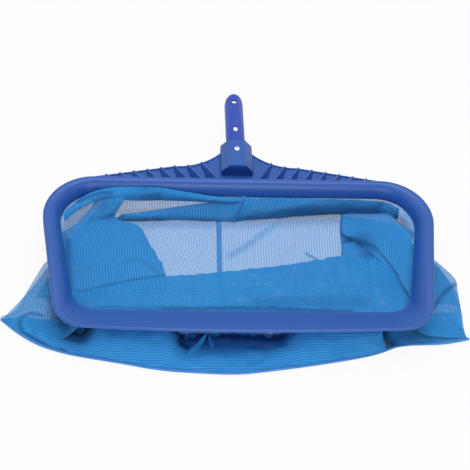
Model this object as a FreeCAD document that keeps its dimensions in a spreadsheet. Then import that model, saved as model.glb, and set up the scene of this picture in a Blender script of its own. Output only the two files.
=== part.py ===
import FreeCAD, Part
import math
import os
import Sketcher

# Leaf skimmer net, also called a leaf rake: a moulded scoop ring with a ribbed handle bridge, a riveted
# handle tongue that slides into a pole, and a deep mesh bag that lies collapsed under the ring.
#
# Lengths are in millimetres. Every sub-part is first drawn about the ring: x to the right, y from the
# scooping lip towards the handle, z up from the plane of the ring's crest. One placement then moves
# all of them to the floor frame, whose origin is the middle of the footprint with the floor at z = 0.

DIMENSIONS = {
    # Scoop ring, seen from the front
    "ring_half_width": 240.4,
    "lip_half_width": 224.0,
    "ring_back": 231.0,
    "lip_front": -5.0,
    "lip_bow": 5.0,
    "ring_back_radius": 62.0,
    "ring_front_radius": 40.0,
    # Scoop ring, its section
    "ring_depth": 22.0,
    "bead_width": 5.0,
    "bead_edge": 3.2,
    "bead_drop": 4.0,
    "side_bar": 21.0,
    "back_bar": 14.0,
    "lip_ramp": 39.4,
    "lip_edge": 1.2,
    "lip_rail": 13.5,
    "inner_bow": 1.0,
    "ring_wall": 3.0,
    "flank_wall": 2.6,
    "groove_top": 7.0,
    # Net hem and the strips that hold it in the groove of the ring
    "hem_thickness": 2.4,
    "hem_gap": 1.8,
    "hem_at_lip": 22.1,
    "hem_top": 15.0,
    "hem_bottom": 24.0,
    "strip_thickness": 3.0,
    "strip_recess": 0.5,
    "strip_end_gap": 6.0,
    # Handle bridge: web, rim and ribs
    "web_top": 18.0,
    "web_thickness": 3.0,
    "web_root_half_width": 216.0,
    "web_root_y": 212.0,
    "web_end_half_width": 194.0,
    "web_end_y": 241.5,
    "web_knee_half_width": 78.0,
    "web_knee_y": 264.0,
    "web_neck_half_width": 19.0,
    "web_neck_y": 289.0,
    "web_scallop_radius": 78.0,
    "rim_width": 1.6,
    "rim_height": 1.2,
    "rib_thickness": 2.0,
    "rib_first": 45.0,
    "rib_pitch": 17.3,
    "rib_slant": 26.0,
    "rib_tip_height": 3.0,
    "rib_root_height": 15.0,
    "rib_overlap": 0.5,
    "rib_bite": 1.0,
    # Boss, the half-octagon socket of the handle tongue
    "boss_half_width": 20.0,
    "boss_facet": 10.0,
    "boss_top": 2.0,
    "boss_shoulder": 10.0,
    "boss_start": 250.0,
    "boss_end": 294.5,
    "boss_end_wall": 3.0,
    "boss_base_wall": 2.5,
    "boss_side_wall": 3.0,
    "socket_clearance": 0.15,
    # Handle tongue, a half-round shell
    "tongue_radius": 12.2,
    "tongue_wall": 3.2,
    "tongue_axis": 13.9,
    "tongue_tip": 381.4,
    "tip_hole": 7.0,
    "tip_hole_setback": 13.7,
    "slot_width": 5.5,
    "slot_length": 9.8,
    "slot_y": 318.7,
    # Tubular rivet and its washer
    "rivet_y": 279.0,
    "rivet_flange": 6.2,
    "rivet_flange_thickness": 0.9,
    "rivet_shank": 4.0,
    "rivet_bore": 2.4,
    "rivet_roll": 0.9,
    "rivet_roll_width": 5.6,
    "washer_width": 7.0,
    "washer_thickness": 0.8,
    # Mesh bag, lying collapsed between the ring and the floor
    "crest_height": 56.0,
    "bag_half_front": 283.0,
    "bag_half_back": 226.0,
    "bag_front": -27.0,
    "bag_bow": 57.0,
    "bag_back": 216.0,
    "ear_radius": 14.0,
    "bag_back_radius": 48.0,
    "net_floor": 2.0,
    "ear_inset": 14.0,
    "front_inset": 7.0,
    "swell_height": 12.0,
    "swell_at_ear": 38.0,
    "swell_at_front": 13.0,
    "swell_at_back": 0.6,
    "swell_ear_wall": 6.0,
    "swell_front_wall": 3.4,
    "seam_half_width": 3.5,
    "seam_split_y": 100.0,
    "binding_width": 4.0,
    "binding_height": 3.0,
    "binding_back_y": 100.0,
}

RIBS_PER_SIDE = 8

# Depths below the crest at which the curved flank of the ring and the groove behind it are drawn, as
# shares of the ring's depth
FLANK_LEVELS = (0.0, 0.12, 0.45, 1.0)
GROOVE_LEVELS = (0.2, 0.55, 1.15)
# Where the bead's crown is drawn between its shoulder and the crest, and how much of the lip's edge is
# rounded away at the crest
CROWN_SHARE = 0.3
LIP_ROUNDING = 0.8
# How much of an inset comes off the radius of the corners that it draws in
CORNER_SHRINK = 0.5
# Size of the straight blades that only split or trim a solid, and how far they reach past its ends
REACH = 700.0
MARGIN = 1.0
# The most of a solid's volume that may be left after something is cut from it
CUT_SHARE = 0.9999

doc = FreeCAD.newDocument("LeafSkimmerNet")
sheet = doc.addObject("Spreadsheet::Sheet", "Dims")
for row, (alias, size) in enumerate(DIMENSIONS.items(), start=1):
    sheet.set(f"A{row}", alias)
    sheet.set(f"B{row}", str(size))
    sheet.setAlias(f"B{row}", alias)
doc.recompute()


def value_of(expression):
    """Return the number that an expression over the sheet gives."""
    result = sheet.evalExpression(expression)
    return float(getattr(result, "Value", result))


def bind(item, **expressions):
    """Bind properties of a document object; two underscores stand for a dot."""
    for name, expression in expressions.items():
        item.setExpression(name.replace("__", "."), expression)
    return item


def lift(item, expression):
    """Raise an object by an expression over the sheet."""
    item.setExpression("Placement.Base.z", expression)
    return item


def fixed(sketch, constraint, expression):
    """Add a driving constraint whose size is bound to an expression."""
    index = sketch.addConstraint(constraint)
    name = f"size_{index}"
    sketch.renameConstraint(index, name)
    sketch.setExpression(f"Constraints.{name}", expression)


def at(x, y, z=0.0):
    return FreeCAD.Vector(x, y, z)


# Outlines

def rounded_outline(name, level, half_front, half_back, front, back, bow, front_radius, back_radius):
    """Sketch a closed outline that is mirrored about the y axis, with four round corners.

    The front edge is one long arc that is tangent to its corners. All arguments but the name are
    expressions over the sheet, and level is the depth below the crest.
    """
    sketch = doc.addObject("Sketcher::SketchObject", name)
    lift(sketch, f"-({level})")
    front_x = f"({half_front}) - ({front_radius})"
    front_y = f"({front}) + ({bow}) + ({front_radius})"
    back_x = f"({half_back}) - ({back_radius})"
    back_y = f"({back}) - ({back_radius})"
    edge_radius = (f"(({front_x}) * ({front_x}) + (({bow}) + ({front_radius})) * (({bow}) + ({front_radius}))"
                   f" - ({front_radius}) * ({front_radius})) / (2 * ({bow}))")
    x1, y1, r1 = value_of(front_x), value_of(front_y), value_of(front_radius)
    x2, y2, r2 = value_of(back_x), value_of(back_y), value_of(back_radius)
    edge = value_of(edge_radius)
    edge_y = value_of(front) + edge
    side = math.atan2(y2 - y1, x2 - x1) - math.acos((r1 - r2) / math.hypot(x2 - x1, y2 - y1))
    corner = math.atan2(y1 - edge_y, x1)
    up = at(0, 0, 1)

    def arc(x, y, radius, start, end):
        return Part.ArcOfCircle(Part.Circle(at(x, y), up, radius), start, end)

    def on_arc(x, y, radius, angle):
        return at(x + radius * math.cos(angle), y + radius * math.sin(angle))

    sketch.addGeometry([
        arc(0, edge_y, edge, -math.pi - corner, corner),
        arc(x1, y1, r1, corner, side),
        Part.LineSegment(on_arc(x1, y1, r1, side), on_arc(x2, y2, r2, side)),
        arc(x2, y2, r2, side, math.pi / 2),
        Part.LineSegment(at(x2, y2 + r2), at(-x2, y2 + r2)),
        arc(-x2, y2, r2, math.pi / 2, math.pi - side),
        Part.LineSegment(on_arc(-x2, y2, r2, math.pi - side), on_arc(-x1, y1, r1, math.pi - side)),
        arc(-x1, y1, r1, math.pi - side, math.pi - corner),
    ], False)
    edges = 8
    sketch.addConstraint([Sketcher.Constraint("Tangent", i, 2, (i + 1) % edges, 1) for i in range(edges)])
    sketch.addConstraint([
        Sketcher.Constraint("Symmetric", 1, 3, 7, 3, -2),
        Sketcher.Constraint("Symmetric", 3, 3, 5, 3, -2),
        Sketcher.Constraint("Equal", 1, 7),
        Sketcher.Constraint("Equal", 3, 5),
    ])
    fixed(sketch, Sketcher.Constraint("Radius", 0, edge), edge_radius)
    fixed(sketch, Sketcher.Constraint("Radius", 1, r1), front_radius)
    fixed(sketch, Sketcher.Constraint("Radius", 3, r2), back_radius)
    fixed(sketch, Sketcher.Constraint("DistanceX", -1, 1, 1, 3, x1), front_x)
    fixed(sketch, Sketcher.Constraint("DistanceY", -1, 1, 1, 3, y1), front_y)
    fixed(sketch, Sketcher.Constraint("DistanceX", -1, 1, 3, 3, x2), back_x)
    fixed(sketch, Sketcher.Constraint("DistanceY", -1, 1, 3, 3, y2), back_y)
    return sketch


def ring_outline(name, level, side_inset, back_inset, front_inset, bow="Dims.lip_bow"):
    """Sketch the ring's outline drawn in by separate insets at its sides, back and lip."""
    return rounded_outline(
        name, level,
        f"Dims.lip_half_width - ({side_inset})",
        f"Dims.ring_half_width - ({side_inset})",
        f"Dims.lip_front + ({front_inset}) + Dims.lip_bow - ({bow})",
        f"Dims.ring_back - ({back_inset})",
        bow,
        f"Dims.ring_front_radius - {CORNER_SHRINK} * ({side_inset})",
        f"Dims.ring_back_radius - {CORNER_SHRINK} * (({side_inset}) + ({back_inset}))",
    )


def flank(name, share, offset):
    """Sketch the inner flank of the ring at a share of its depth, moved outwards by an offset.

    The flank is a quarter ellipse at the sides and the back, and a straight ramp at the lip.
    """
    curve = f"sqrt(1 - (1 - {share}) * (1 - {share}))"
    bow = f"Dims.lip_bow + {share} * (Dims.inner_bow - Dims.lip_bow)"
    return ring_outline(
        name, f"Dims.ring_depth * {share}",
        f"Dims.bead_width + (Dims.side_bar - Dims.bead_width) * {curve} - ({offset})",
        f"Dims.bead_width + (Dims.back_bar - Dims.bead_width) * {curve} - ({offset})",
        f"Dims.lip_edge + (Dims.lip_ramp - Dims.lip_edge) * {share} - ({offset})",
        bow,
    )


def hem_outline(name, level, outward):
    """Sketch the line of the net's hem in the groove, moved outwards, at any depth."""
    clear = "(Dims.flank_wall + Dims.hem_gap)"
    return ring_outline(
        name, level,
        f"Dims.side_bar - {clear} - ({outward})",
        f"Dims.back_bar - {clear} - ({outward})",
        f"Dims.hem_at_lip - ({outward})",
        "Dims.inner_bow",
    )


# Solids and how they are combined

def loft(name, sections):
    """Join outlines, from the lowest to the highest, with straight walls."""
    solid = doc.addObject("Part::Loft", name)
    solid.Sections = sections
    solid.Solid = True
    solid.Ruled = True
    return solid


def extrude(name, sketch, length):
    """Raise a flat sketch into a solid."""
    solid = doc.addObject("Part::Extrusion", name)
    solid.Base = sketch
    solid.DirMode = "Custom"
    solid.Dir = at(0, 0, 1)
    solid.Solid = True
    return bind(solid, LengthFwd=length)


def cut(name, base, tool):
    solid = doc.addObject("Part::Cut", name)
    solid.Base = base
    solid.Tool = tool
    return solid


def common(name, base, tool):
    solid = doc.addObject("Part::Common", name)
    solid.Base = base
    solid.Tool = tool
    return solid


def fuse(name, shapes):
    solid = doc.addObject("Part::MultiFuse", name)
    solid.Shapes = shapes
    solid.Refine = True
    return solid


def box(name, x, y, z, length, width, height):
    """Make a box from its lowest corner and its sizes, all as expressions."""
    solid = doc.addObject("Part::Box", name)
    return bind(solid, Placement__Base__x=x, Placement__Base__y=y, Placement__Base__z=z,
                Length=length, Width=width, Height=height)


def cylinder(name, radius, length, x, y, z):
    """Make an upright cylinder."""
    solid = doc.addObject("Part::Cylinder", name)
    return bind(solid, Radius=radius, Height=length,
                Placement__Base__x=x, Placement__Base__y=y, Placement__Base__z=z)


def lying_cylinder(name, radius, length, y, z):
    """Make a cylinder whose axis runs along y."""
    solid = cylinder(name, radius, length, "0", y, z)
    solid.Placement.Rotation = FreeCAD.Rotation(at(1, 0, 0), -90)
    return solid


def polygon(name, points):
    """Sketch a closed polygon whose corners are pairs of expressions."""
    sketch = doc.addObject("Sketcher::SketchObject", name)
    corners = [at(value_of(x), value_of(y)) for x, y in points]
    count = len(corners)
    sketch.addGeometry([Part.LineSegment(corners[i], corners[(i + 1) % count]) for i in range(count)], False)
    sketch.addConstraint([Sketcher.Constraint("Coincident", i, 2, (i + 1) % count, 1) for i in range(count)])
    for i, (x, y) in enumerate(points):
        fixed(sketch, Sketcher.Constraint("DistanceX", -1, 1, i, 1, corners[i].x), x)
        fixed(sketch, Sketcher.Constraint("DistanceY", -1, 1, i, 1, corners[i].y), y)
    return sketch


SUB_PARTS = {}


def finished(label, item):
    """Name a sub-part and move it from the ring's frame to the floor frame."""
    item.Label = label
    bind(item, Placement__Base__y="-(Dims.tongue_tip + Dims.bag_front - Dims.binding_width) / 2",
         Placement__Base__z="Dims.crest_height")
    SUB_PARTS[label] = item
    return item


# Scoop ring

def make_ring_envelope(name):
    """Make the ring's outer form: upright walls, a small bead, and a lip whose underside slopes back."""
    lower = ring_outline(name + "Lower", "Dims.ring_depth", "0", "0", "Dims.lip_rail", "Dims.inner_bow")
    shoulder = ring_outline(name + "Shoulder", "Dims.bead_drop", "0", "0", "0")
    crown_inset = f"Dims.bead_edge * {CROWN_SHARE}"
    crown = ring_outline(name + "Crown", f"Dims.bead_drop * {CROWN_SHARE}", crown_inset, crown_inset,
                         f"Dims.lip_edge * {LIP_ROUNDING} / 2")
    crest = ring_outline(name + "Crest", "0", "Dims.bead_edge", "Dims.bead_edge",
                         f"Dims.lip_edge * {LIP_ROUNDING}")
    return loft(name, [lower, shoulder, crown, crest])


def make_scoop_ring():
    """Make the moulded ring: a hollow bar with a curved flank, and a ramp at the scooping lip."""
    mouth = loft("Mouth", [flank(f"Flank{i}", share, "0") for i, share in enumerate(reversed(FLANK_LEVELS))])
    body = cut("RingBody", make_ring_envelope("RingForm"), mouth)
    outer = loft("GrooveOuter", [
        ring_outline("GrooveLower", f"Dims.ring_depth + {MARGIN}", "Dims.ring_wall", "Dims.ring_wall",
                     "Dims.lip_rail + Dims.ring_wall", "Dims.inner_bow"),
        ring_outline("GrooveUpper", "Dims.groove_top", "Dims.ring_wall", "Dims.ring_wall",
                     "Dims.lip_rail + Dims.ring_wall", "Dims.inner_bow"),
    ])
    core = loft("GrooveCore", [flank(f"Core{i}", share, "Dims.flank_wall")
                               for i, share in enumerate(reversed(GROOVE_LEVELS))])
    return finished("scoop_ring", cut("ScoopRing", body, cut("Groove", outer, core)))


# Net hem and its retaining strips

def make_band(name, outer, inner, height):
    """Make a flat-topped band between two outlines at one level."""
    return cut(name, extrude(name + "Outer", outer, height), extrude(name + "Inner", inner, height))


def make_hem_tape():
    """Make the tape that is folded over the net's edge and sits against the flank in the groove."""
    band = make_band(
        "HemTape",
        hem_outline("HemOuter", "Dims.hem_bottom", "Dims.hem_thickness"),
        hem_outline("HemInner", "Dims.hem_bottom", "0"),
        "Dims.hem_bottom - Dims.hem_top",
    )
    return finished("hem_tape", band)


def make_retaining_strips():
    """Make the four straight strips that wedge the hem in the groove, one to each bar of the ring."""
    level = "Dims.ring_depth - Dims.strip_recess"
    front = "(Dims.lip_front + Dims.lip_rail + Dims.ring_front_radius + Dims.strip_end_gap)"
    side_end = "(Dims.ring_back - Dims.ring_back_radius)"
    back_half = "(Dims.ring_half_width - Dims.ring_back_radius)"
    lip_half = "(Dims.lip_half_width - Dims.ring_front_radius)"
    low = f"-({level}) - {MARGIN}"
    tall = f"Dims.strip_thickness + 2 * {MARGIN}"
    windows = {
        "top": (f"-{back_half}", side_end, f"2 * {back_half}", f"{REACH}"),
        "lip": (f"-{lip_half}", f"-{REACH}", f"2 * {lip_half}", f"{REACH} + {front}"),
        "left": (f"-{REACH}", front, f"{REACH}", f"{side_end} - {front}"),
        "right": ("0", front, f"{REACH}", f"{side_end} - {front}"),
    }
    for place, (x, y, length, width) in windows.items():
        band = make_band(
            f"Strip{place}",
            ring_outline(f"StripOuter{place}", level, "Dims.ring_wall", "Dims.ring_wall",
                         "Dims.lip_rail + Dims.ring_wall", "Dims.inner_bow"),
            hem_outline(f"StripInner{place}", level, "Dims.hem_thickness"),
            "Dims.strip_thickness",
        )
        window = box(f"StripWindow{place}", x, y, low, length, width, tall)
        finished(f"retaining_strip_{place}", common(f"RetainingStrip{place}", band, window))


# Handle bridge

def web_corner(place, inset):
    """Return a named corner of the web's edge, drawn in towards the ring."""
    return at(value_of(f"Dims.web_{place}_half_width"), value_of(f"Dims.web_{place}_y - {inset}"))


def scallop(inset):
    """Return the centre of the scallop between the web's knee and its neck, and the way from it outwards."""
    knee, neck = web_corner("knee", inset), web_corner("neck", inset)
    chord = neck - knee
    half = chord.Length / 2
    outward = at(-chord.y, chord.x) * (-1.0 / chord.Length)
    radius = value_of("Dims.web_scallop_radius")
    return (knee + neck) * 0.5 + outward * math.sqrt(radius ** 2 - half ** 2), outward


def web_sketch(name, level, inset):
    """Sketch the web: a long low plate that rises in two scallops to the boss."""
    sketch = doc.addObject("Sketcher::SketchObject", name)
    lift(sketch, f"-({level})")
    root = web_corner("root", 0.0)
    end, knee, neck = [web_corner(place, inset) for place in ("end", "knee", "neck")]
    centre, outward = scallop(inset)
    sag = centre - outward * value_of("Dims.web_scallop_radius")
    left_root, left_end, left_knee, left_sag, left_neck = [
        at(-point.x, point.y) for point in (root, end, knee, sag, neck)
    ]
    sketch.addGeometry([
        Part.LineSegment(root, end),
        Part.LineSegment(end, knee),
        Part.Arc(knee, sag, neck),
        Part.LineSegment(neck, left_neck),
        Part.Arc(left_neck, left_sag, left_knee),
        Part.LineSegment(left_knee, left_end),
        Part.LineSegment(left_end, left_root),
        Part.LineSegment(left_root, root),
    ], False)
    return sketch


def web_edge(x):
    """Return where the web's edge runs at a distance from the middle."""
    end, knee = web_corner("end", 0.0), web_corner("knee", 0.0)
    if x >= knee.x:
        return knee.y + (end.y - knee.y) * (x - knee.x) / (end.x - knee.x)
    centre, _ = scallop(0.0)
    return centre.y - math.sqrt(value_of("Dims.web_scallop_radius") ** 2 - (x - centre.x) ** 2)


def make_ribs(level):
    """Make the slanted gussets that run from the web's edge up to the ring, mirrored left and right."""
    ribs = []
    slant = value_of("Dims.rib_slant")
    for i in range(RIBS_PER_SIDE):
        x = value_of(f"Dims.rib_first + {i} * Dims.rib_pitch")
        tip_y = web_edge(x)
        for side in (-1, 1):
            rib = doc.addObject("Part::Wedge", f"Rib{i}{'Left' if side < 0 else 'Right'}")
            bind(rib, Xmin="-Dims.rib_thickness / 2", Xmax="Dims.rib_thickness / 2",
                 X2min="-Dims.rib_thickness / 2", X2max="Dims.rib_thickness / 2",
                 Ymin="0", Ymax=f"({tip_y} - Dims.ring_back + Dims.rib_bite) / {math.cos(math.radians(slant))}",
                 Zmin="-Dims.rib_overlap", Zmax="Dims.rib_tip_height",
                 Z2min="-Dims.rib_overlap", Z2max="Dims.rib_root_height")
            turn = FreeCAD.Rotation(at(0, 0, 1), -(180.0 + side * slant))
            rib.Placement = FreeCAD.Placement(at(side * x, tip_y, -level), turn)
            ribs.append(rib)
    return ribs


def make_boss():
    """Make the half-octagon boss with its half-round socket and the hollow under its base."""
    profile = polygon("BossProfile", [
        ("-Dims.boss_half_width", "-(Dims.web_top + Dims.web_thickness)"),
        ("Dims.boss_half_width", "-(Dims.web_top + Dims.web_thickness)"),
        ("Dims.boss_half_width", "-Dims.boss_shoulder"),
        ("Dims.boss_facet", "Dims.boss_top"),
        ("-Dims.boss_facet", "Dims.boss_top"),
        ("-Dims.boss_half_width", "-Dims.boss_shoulder"),
    ])
    profile.Placement = FreeCAD.Placement(at(0, 0, 0), FreeCAD.Rotation(at(1, 0, 0), 90))
    bind(profile, Placement__Base__y="Dims.boss_start")
    prism = doc.addObject("Part::Extrusion", "BossPrism")
    prism.Base = profile
    prism.DirMode = "Custom"
    prism.Dir = at(0, 1, 0)
    prism.Solid = True
    bind(prism, LengthFwd="Dims.boss_end - Dims.boss_start")
    return prism


def make_socket():
    """Make the half-round space that the tongue fills inside the boss."""
    tunnel = lying_cylinder("SocketRound", "Dims.tongue_radius + Dims.socket_clearance",
                            f"Dims.boss_end - Dims.boss_start - Dims.boss_end_wall + {MARGIN}",
                            "Dims.boss_start + Dims.boss_end_wall", "-Dims.tongue_axis")
    upper = box("SocketUpper", "-Dims.boss_half_width", "Dims.boss_start", "-Dims.tongue_axis",
                "2 * Dims.boss_half_width", f"{REACH}", "Dims.boss_half_width")
    return common("Socket", tunnel, upper)


def make_handle_bridge():
    """Make the web, rim, ribs and boss as one moulding that meets the ring's outer wall."""
    web_level = value_of("Dims.web_top")
    plate = extrude("WebPlate", web_sketch("WebOutline", "Dims.web_top + Dims.web_thickness", 0.0),
                    "Dims.web_thickness")
    rim_level = "Dims.web_top + Dims.web_thickness"
    rim_height = "Dims.web_thickness + Dims.rim_height"
    rim = cut("WebRim",
              extrude("RimOuter", web_sketch("RimOuterOutline", rim_level, 0.0), rim_height),
              extrude("RimInner", web_sketch("RimInnerOutline", rim_level, value_of("Dims.rim_width")),
                      rim_height))
    moulding = fuse("BridgeForm", [plate, rim, make_boss()] + make_ribs(web_level))
    pocket = box("BossHollow", "-(Dims.boss_half_width - Dims.boss_side_wall)",
                 "Dims.boss_start + Dims.boss_end_wall",
                 f"-(Dims.web_top + Dims.web_thickness) - {MARGIN}",
                 "2 * (Dims.boss_half_width - Dims.boss_side_wall)",
                 "Dims.boss_end - Dims.boss_start - 2 * Dims.boss_end_wall",
                 "Dims.web_top + Dims.web_thickness - Dims.tongue_axis - Dims.boss_base_wall"
                 f" + {MARGIN}")
    rivet_hole = cylinder("BossRivetHole", "Dims.rivet_shank / 2", "Dims.boss_half_width", "0",
                          "Dims.rivet_y", "-Dims.tongue_axis")
    hollow = cut("BridgeHollow", cut("BridgeSocket", moulding, make_socket()), pocket)
    drilled = cut("BridgeDrilled", hollow, rivet_hole)
    return finished("handle_bridge", cut("HandleBridge", drilled, make_ring_envelope("RingNeighbour")))


# Handle tongue, rivet and washer

def make_handle_tongue():
    """Make the half-round tongue with a round tip, a round hole, an upright slot and the rivet hole."""
    start = "Dims.boss_start + Dims.boss_end_wall"
    length = f"Dims.tongue_tip - ({start})"
    shell = cut("TongueTube",
                lying_cylinder("TongueOuter", "Dims.tongue_radius", length, start, "-Dims.tongue_axis"),
                lying_cylinder("TongueInner", "Dims.tongue_radius - Dims.tongue_wall", length, start,
                               "-Dims.tongue_axis"))
    trunk = box("TonguePlan", "-Dims.tongue_radius", start, "-Dims.tongue_axis", "2 * Dims.tongue_radius",
                f"{length} - Dims.tongue_radius", "Dims.tongue_radius")
    tip = cylinder("TonguePlanTip", "Dims.tongue_radius", "Dims.tongue_radius", "0",
                   "Dims.tongue_tip - Dims.tongue_radius", "-Dims.tongue_axis")
    half = common("TongueHalf", shell, fuse("TongueTrim", [trunk, tip]))
    round_hole = cylinder("TipHole", "Dims.tip_hole / 2", "Dims.tongue_radius * 2", "0",
                          "Dims.tongue_tip - Dims.tip_hole_setback", "-Dims.tongue_axis")
    slot_ends = [
        cylinder(f"SlotEnd{i}", "Dims.slot_width / 2", "Dims.tongue_radius * 2", "0",
                 f"Dims.slot_y + {sign} * (Dims.slot_length - Dims.slot_width) / 2", "-Dims.tongue_axis")
        for i, sign in enumerate((-1, 1))
    ]
    slot_middle = box("SlotMiddle", "-Dims.slot_width / 2",
                      "Dims.slot_y - (Dims.slot_length - Dims.slot_width) / 2", "-Dims.tongue_axis",
                      "Dims.slot_width", "Dims.slot_length - Dims.slot_width", "Dims.tongue_radius * 2")
    rivet_hole = cylinder("TongueRivetHole", "Dims.rivet_shank / 2", "Dims.tongue_radius * 2", "0",
                          "Dims.rivet_y", "-Dims.tongue_axis")
    holes = fuse("TongueHoles", [round_hole, rivet_hole, slot_middle] + slot_ends)
    return finished("handle_tongue", cut("HandleTongue", half, holes))


def washer_top():
    """Return how deep a flat washer lies under the crown of the tongue's hollow."""
    hollow = "(Dims.tongue_radius - Dims.tongue_wall)"
    return (f"(Dims.tongue_axis - sqrt({hollow} * {hollow}"
            " - Dims.washer_width * Dims.washer_width / 4))")


def make_rivet():
    """Make the tubular rivet: a flange on the boss, a hollow shank and a rolled end under the washer."""
    body = doc.addObject("PartDesign::Body", "TongueRivet")
    plane = next(item for item in body.Origin.OriginFeatures if item.Role == "XZ_Plane")
    sketch = body.newObject("Sketcher::SketchObject", "RivetProfile")
    sketch.AttachmentSupport = [(plane, "")]
    sketch.MapMode = "FlatFace"
    roll_top = f"-({washer_top()} + Dims.washer_thickness)"
    corners = [
        ("Dims.rivet_bore / 2", f"{roll_top} - Dims.rivet_roll"),
        ("Dims.rivet_roll_width / 2", f"{roll_top} - Dims.rivet_roll"),
        ("Dims.rivet_roll_width / 2", roll_top),
        ("Dims.rivet_shank / 2", roll_top),
        ("Dims.rivet_shank / 2", "Dims.boss_top"),
        ("Dims.rivet_flange / 2", "Dims.boss_top"),
        ("Dims.rivet_flange / 2", "Dims.boss_top + Dims.rivet_flange_thickness / 2"),
        ("Dims.rivet_shank / 2", "Dims.boss_top + Dims.rivet_flange_thickness"),
        ("Dims.rivet_bore / 2", "Dims.boss_top + Dims.rivet_flange_thickness"),
    ]
    points = [at(value_of(x), value_of(z)) for x, z in corners]
    count = len(points)
    sketch.addGeometry([Part.LineSegment(points[i], points[(i + 1) % count]) for i in range(count)], False)
    sketch.addConstraint([Sketcher.Constraint("Coincident", i, 2, (i + 1) % count, 1) for i in range(count)])
    for i, (x, z) in enumerate(corners):
        fixed(sketch, Sketcher.Constraint("DistanceX", -1, 1, i, 1, points[i].x), x)
        fixed(sketch, Sketcher.Constraint("DistanceY", -1, 1, i, 1, points[i].y), z)
    turned = body.newObject("PartDesign::Revolution", "RivetTurned")
    turned.Profile = sketch
    turned.ReferenceAxis = (sketch, ["V_Axis"])
    turned.Angle = 360.0
    finished("tongue_rivet", body)
    body.setExpression("Placement.Base.y", "-(Dims.tongue_tip + Dims.bag_front - Dims.binding_width) / 2"
                       " + Dims.rivet_y")
    return body


def make_rivet_washer():
    """Make the flat washer between the tongue and the rivet's rolled end."""
    disc = cylinder("WasherDisc", "Dims.washer_width / 2", "Dims.washer_thickness", "0", "Dims.rivet_y",
                    f"-({washer_top()} + Dims.washer_thickness)")
    hole = cylinder("WasherHole", "Dims.rivet_shank / 2", "Dims.washer_thickness", "0", "Dims.rivet_y",
                    f"-({washer_top()} + Dims.washer_thickness)")
    return finished("rivet_washer", cut("RivetWasher", disc, hole))


# Mesh bag

def bag_outline(name, level, ear_inset, front_inset, back_inset):
    """Sketch the bag's outline on the floor: a bowed front with an ear at either end."""
    return rounded_outline(
        name, level,
        f"Dims.bag_half_front - ({ear_inset})",
        f"Dims.bag_half_back - ({back_inset})",
        f"Dims.bag_front + ({front_inset})",
        f"Dims.bag_back - ({back_inset})",
        "Dims.bag_bow",
        "Dims.ear_radius",
        "Dims.bag_back_radius",
    )


def make_bag_shell(name):
    """Make the whole bag as one open tub: its floor lies flat, and its walls swell out and rise to the hem."""
    floor = "Dims.crest_height"
    swell = "Dims.crest_height - Dims.swell_height"
    rim = "Dims.hem_bottom"
    outer = loft(name + "Outer", [
        bag_outline(name + "OuterFloor", floor, "0", "0", "0"),
        bag_outline(name + "OuterSwell", swell, "Dims.swell_at_ear", "Dims.swell_at_front", "Dims.swell_at_back"),
        hem_outline(name + "OuterRim", rim, "Dims.hem_thickness"),
    ])
    inner = loft(name + "Inner", [
        bag_outline(name + "InnerFloor", f"{floor} - Dims.net_floor", "Dims.ear_inset", "Dims.front_inset",
                    "Dims.hem_thickness"),
        bag_outline(name + "InnerSwell", swell, "Dims.swell_at_ear + Dims.swell_ear_wall",
                    "Dims.swell_at_front + Dims.swell_front_wall", "Dims.swell_at_back + Dims.hem_thickness"),
        hem_outline(name + "InnerRim", rim, "0"),
    ])
    return cut(name, outer, inner)


def make_bag():
    """Split the tub into its two net halves and the two seams that join them."""
    floor = "-Dims.crest_height"
    tall = "Dims.crest_height"
    seam = "Dims.seam_half_width"
    split = "Dims.seam_split_y"
    windows = {
        "net_left_half": (f"-{REACH}", f"-{REACH}", f"{REACH} - {seam}", f"2 * {REACH}"),
        "net_right_half": (seam, f"-{REACH}", f"{REACH} - {seam}", f"2 * {REACH}"),
        "back_centre_seam": (f"-{seam}", split, f"2 * {seam}", f"{REACH}"),
        "front_centre_seam": (f"-{seam}", f"-{REACH}", f"2 * {seam}", f"{REACH} + {split}"),
    }
    for label, (x, y, length, width) in windows.items():
        name = label.title().replace("_", "")
        window = box(name + "Window", x, y, floor, length, width, tall)
        finished(label, common(name, make_bag_shell(name + "Shell"), window))


def make_bottom_seam():
    """Make the binding sewn along the closed end of the bag, from one ear to the other."""
    band = make_band(
        "BindingBand",
        bag_outline("BindingOuter", "Dims.crest_height", "-Dims.binding_width", "-Dims.binding_width", "0"),
        bag_outline("BindingInner", "Dims.crest_height", "0", "0", "0"),
        "Dims.binding_height",
    )
    window = box("BindingWindow", f"-{REACH}", f"-{REACH}", "-Dims.crest_height", f"2 * {REACH}",
                 f"{REACH} + Dims.binding_back_y", "Dims.binding_height")
    return finished("bottom_seam_binding", common("BottomSeamBinding", band, window))


make_scoop_ring()
make_hem_tape()
make_retaining_strips()
make_handle_bridge()
make_handle_tongue()
make_rivet()
make_rivet_washer()
make_bag()
make_bottom_seam()
doc.recompute()

broken = [item.Name for item in doc.Objects if "Invalid" in item.State or "Error" in item.State]
if broken:
    raise RuntimeError(f"objects that failed: {broken}")
idle = [item.Name for item in doc.Objects
        if item.TypeId == "Part::Cut" and item.Shape.Volume > CUT_SHARE * item.Base.Shape.Volume]
if idle:
    raise RuntimeError(f"cuts that took nothing away: {idle}")
for label, item in SUB_PARTS.items():
    shape = item.Shape
    if shape.isNull() or not shape.isValid() or not shape.Solids:
        raise RuntimeError(f"{label} has no valid solid")
    print(f"{label}: {len(shape.Solids)} solid, {shape.Volume / 1000:.2f} cm3, {len(shape.Faces)} faces")

os.makedirs("parts", exist_ok=True)
for label, item in SUB_PARTS.items():
    item.Shape.exportStep(f"parts/{label}.step")
whole = FreeCAD.BoundBox()
for item in SUB_PARTS.values():
    whole.add(item.Shape.BoundBox)
print(f"box: x {whole.XMin:.2f} to {whole.XMax:.2f}, y {whole.YMin:.2f} to {whole.YMax:.2f},"
      f" z {whole.ZMin:.2f} to {whole.ZMax:.2f}")
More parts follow.
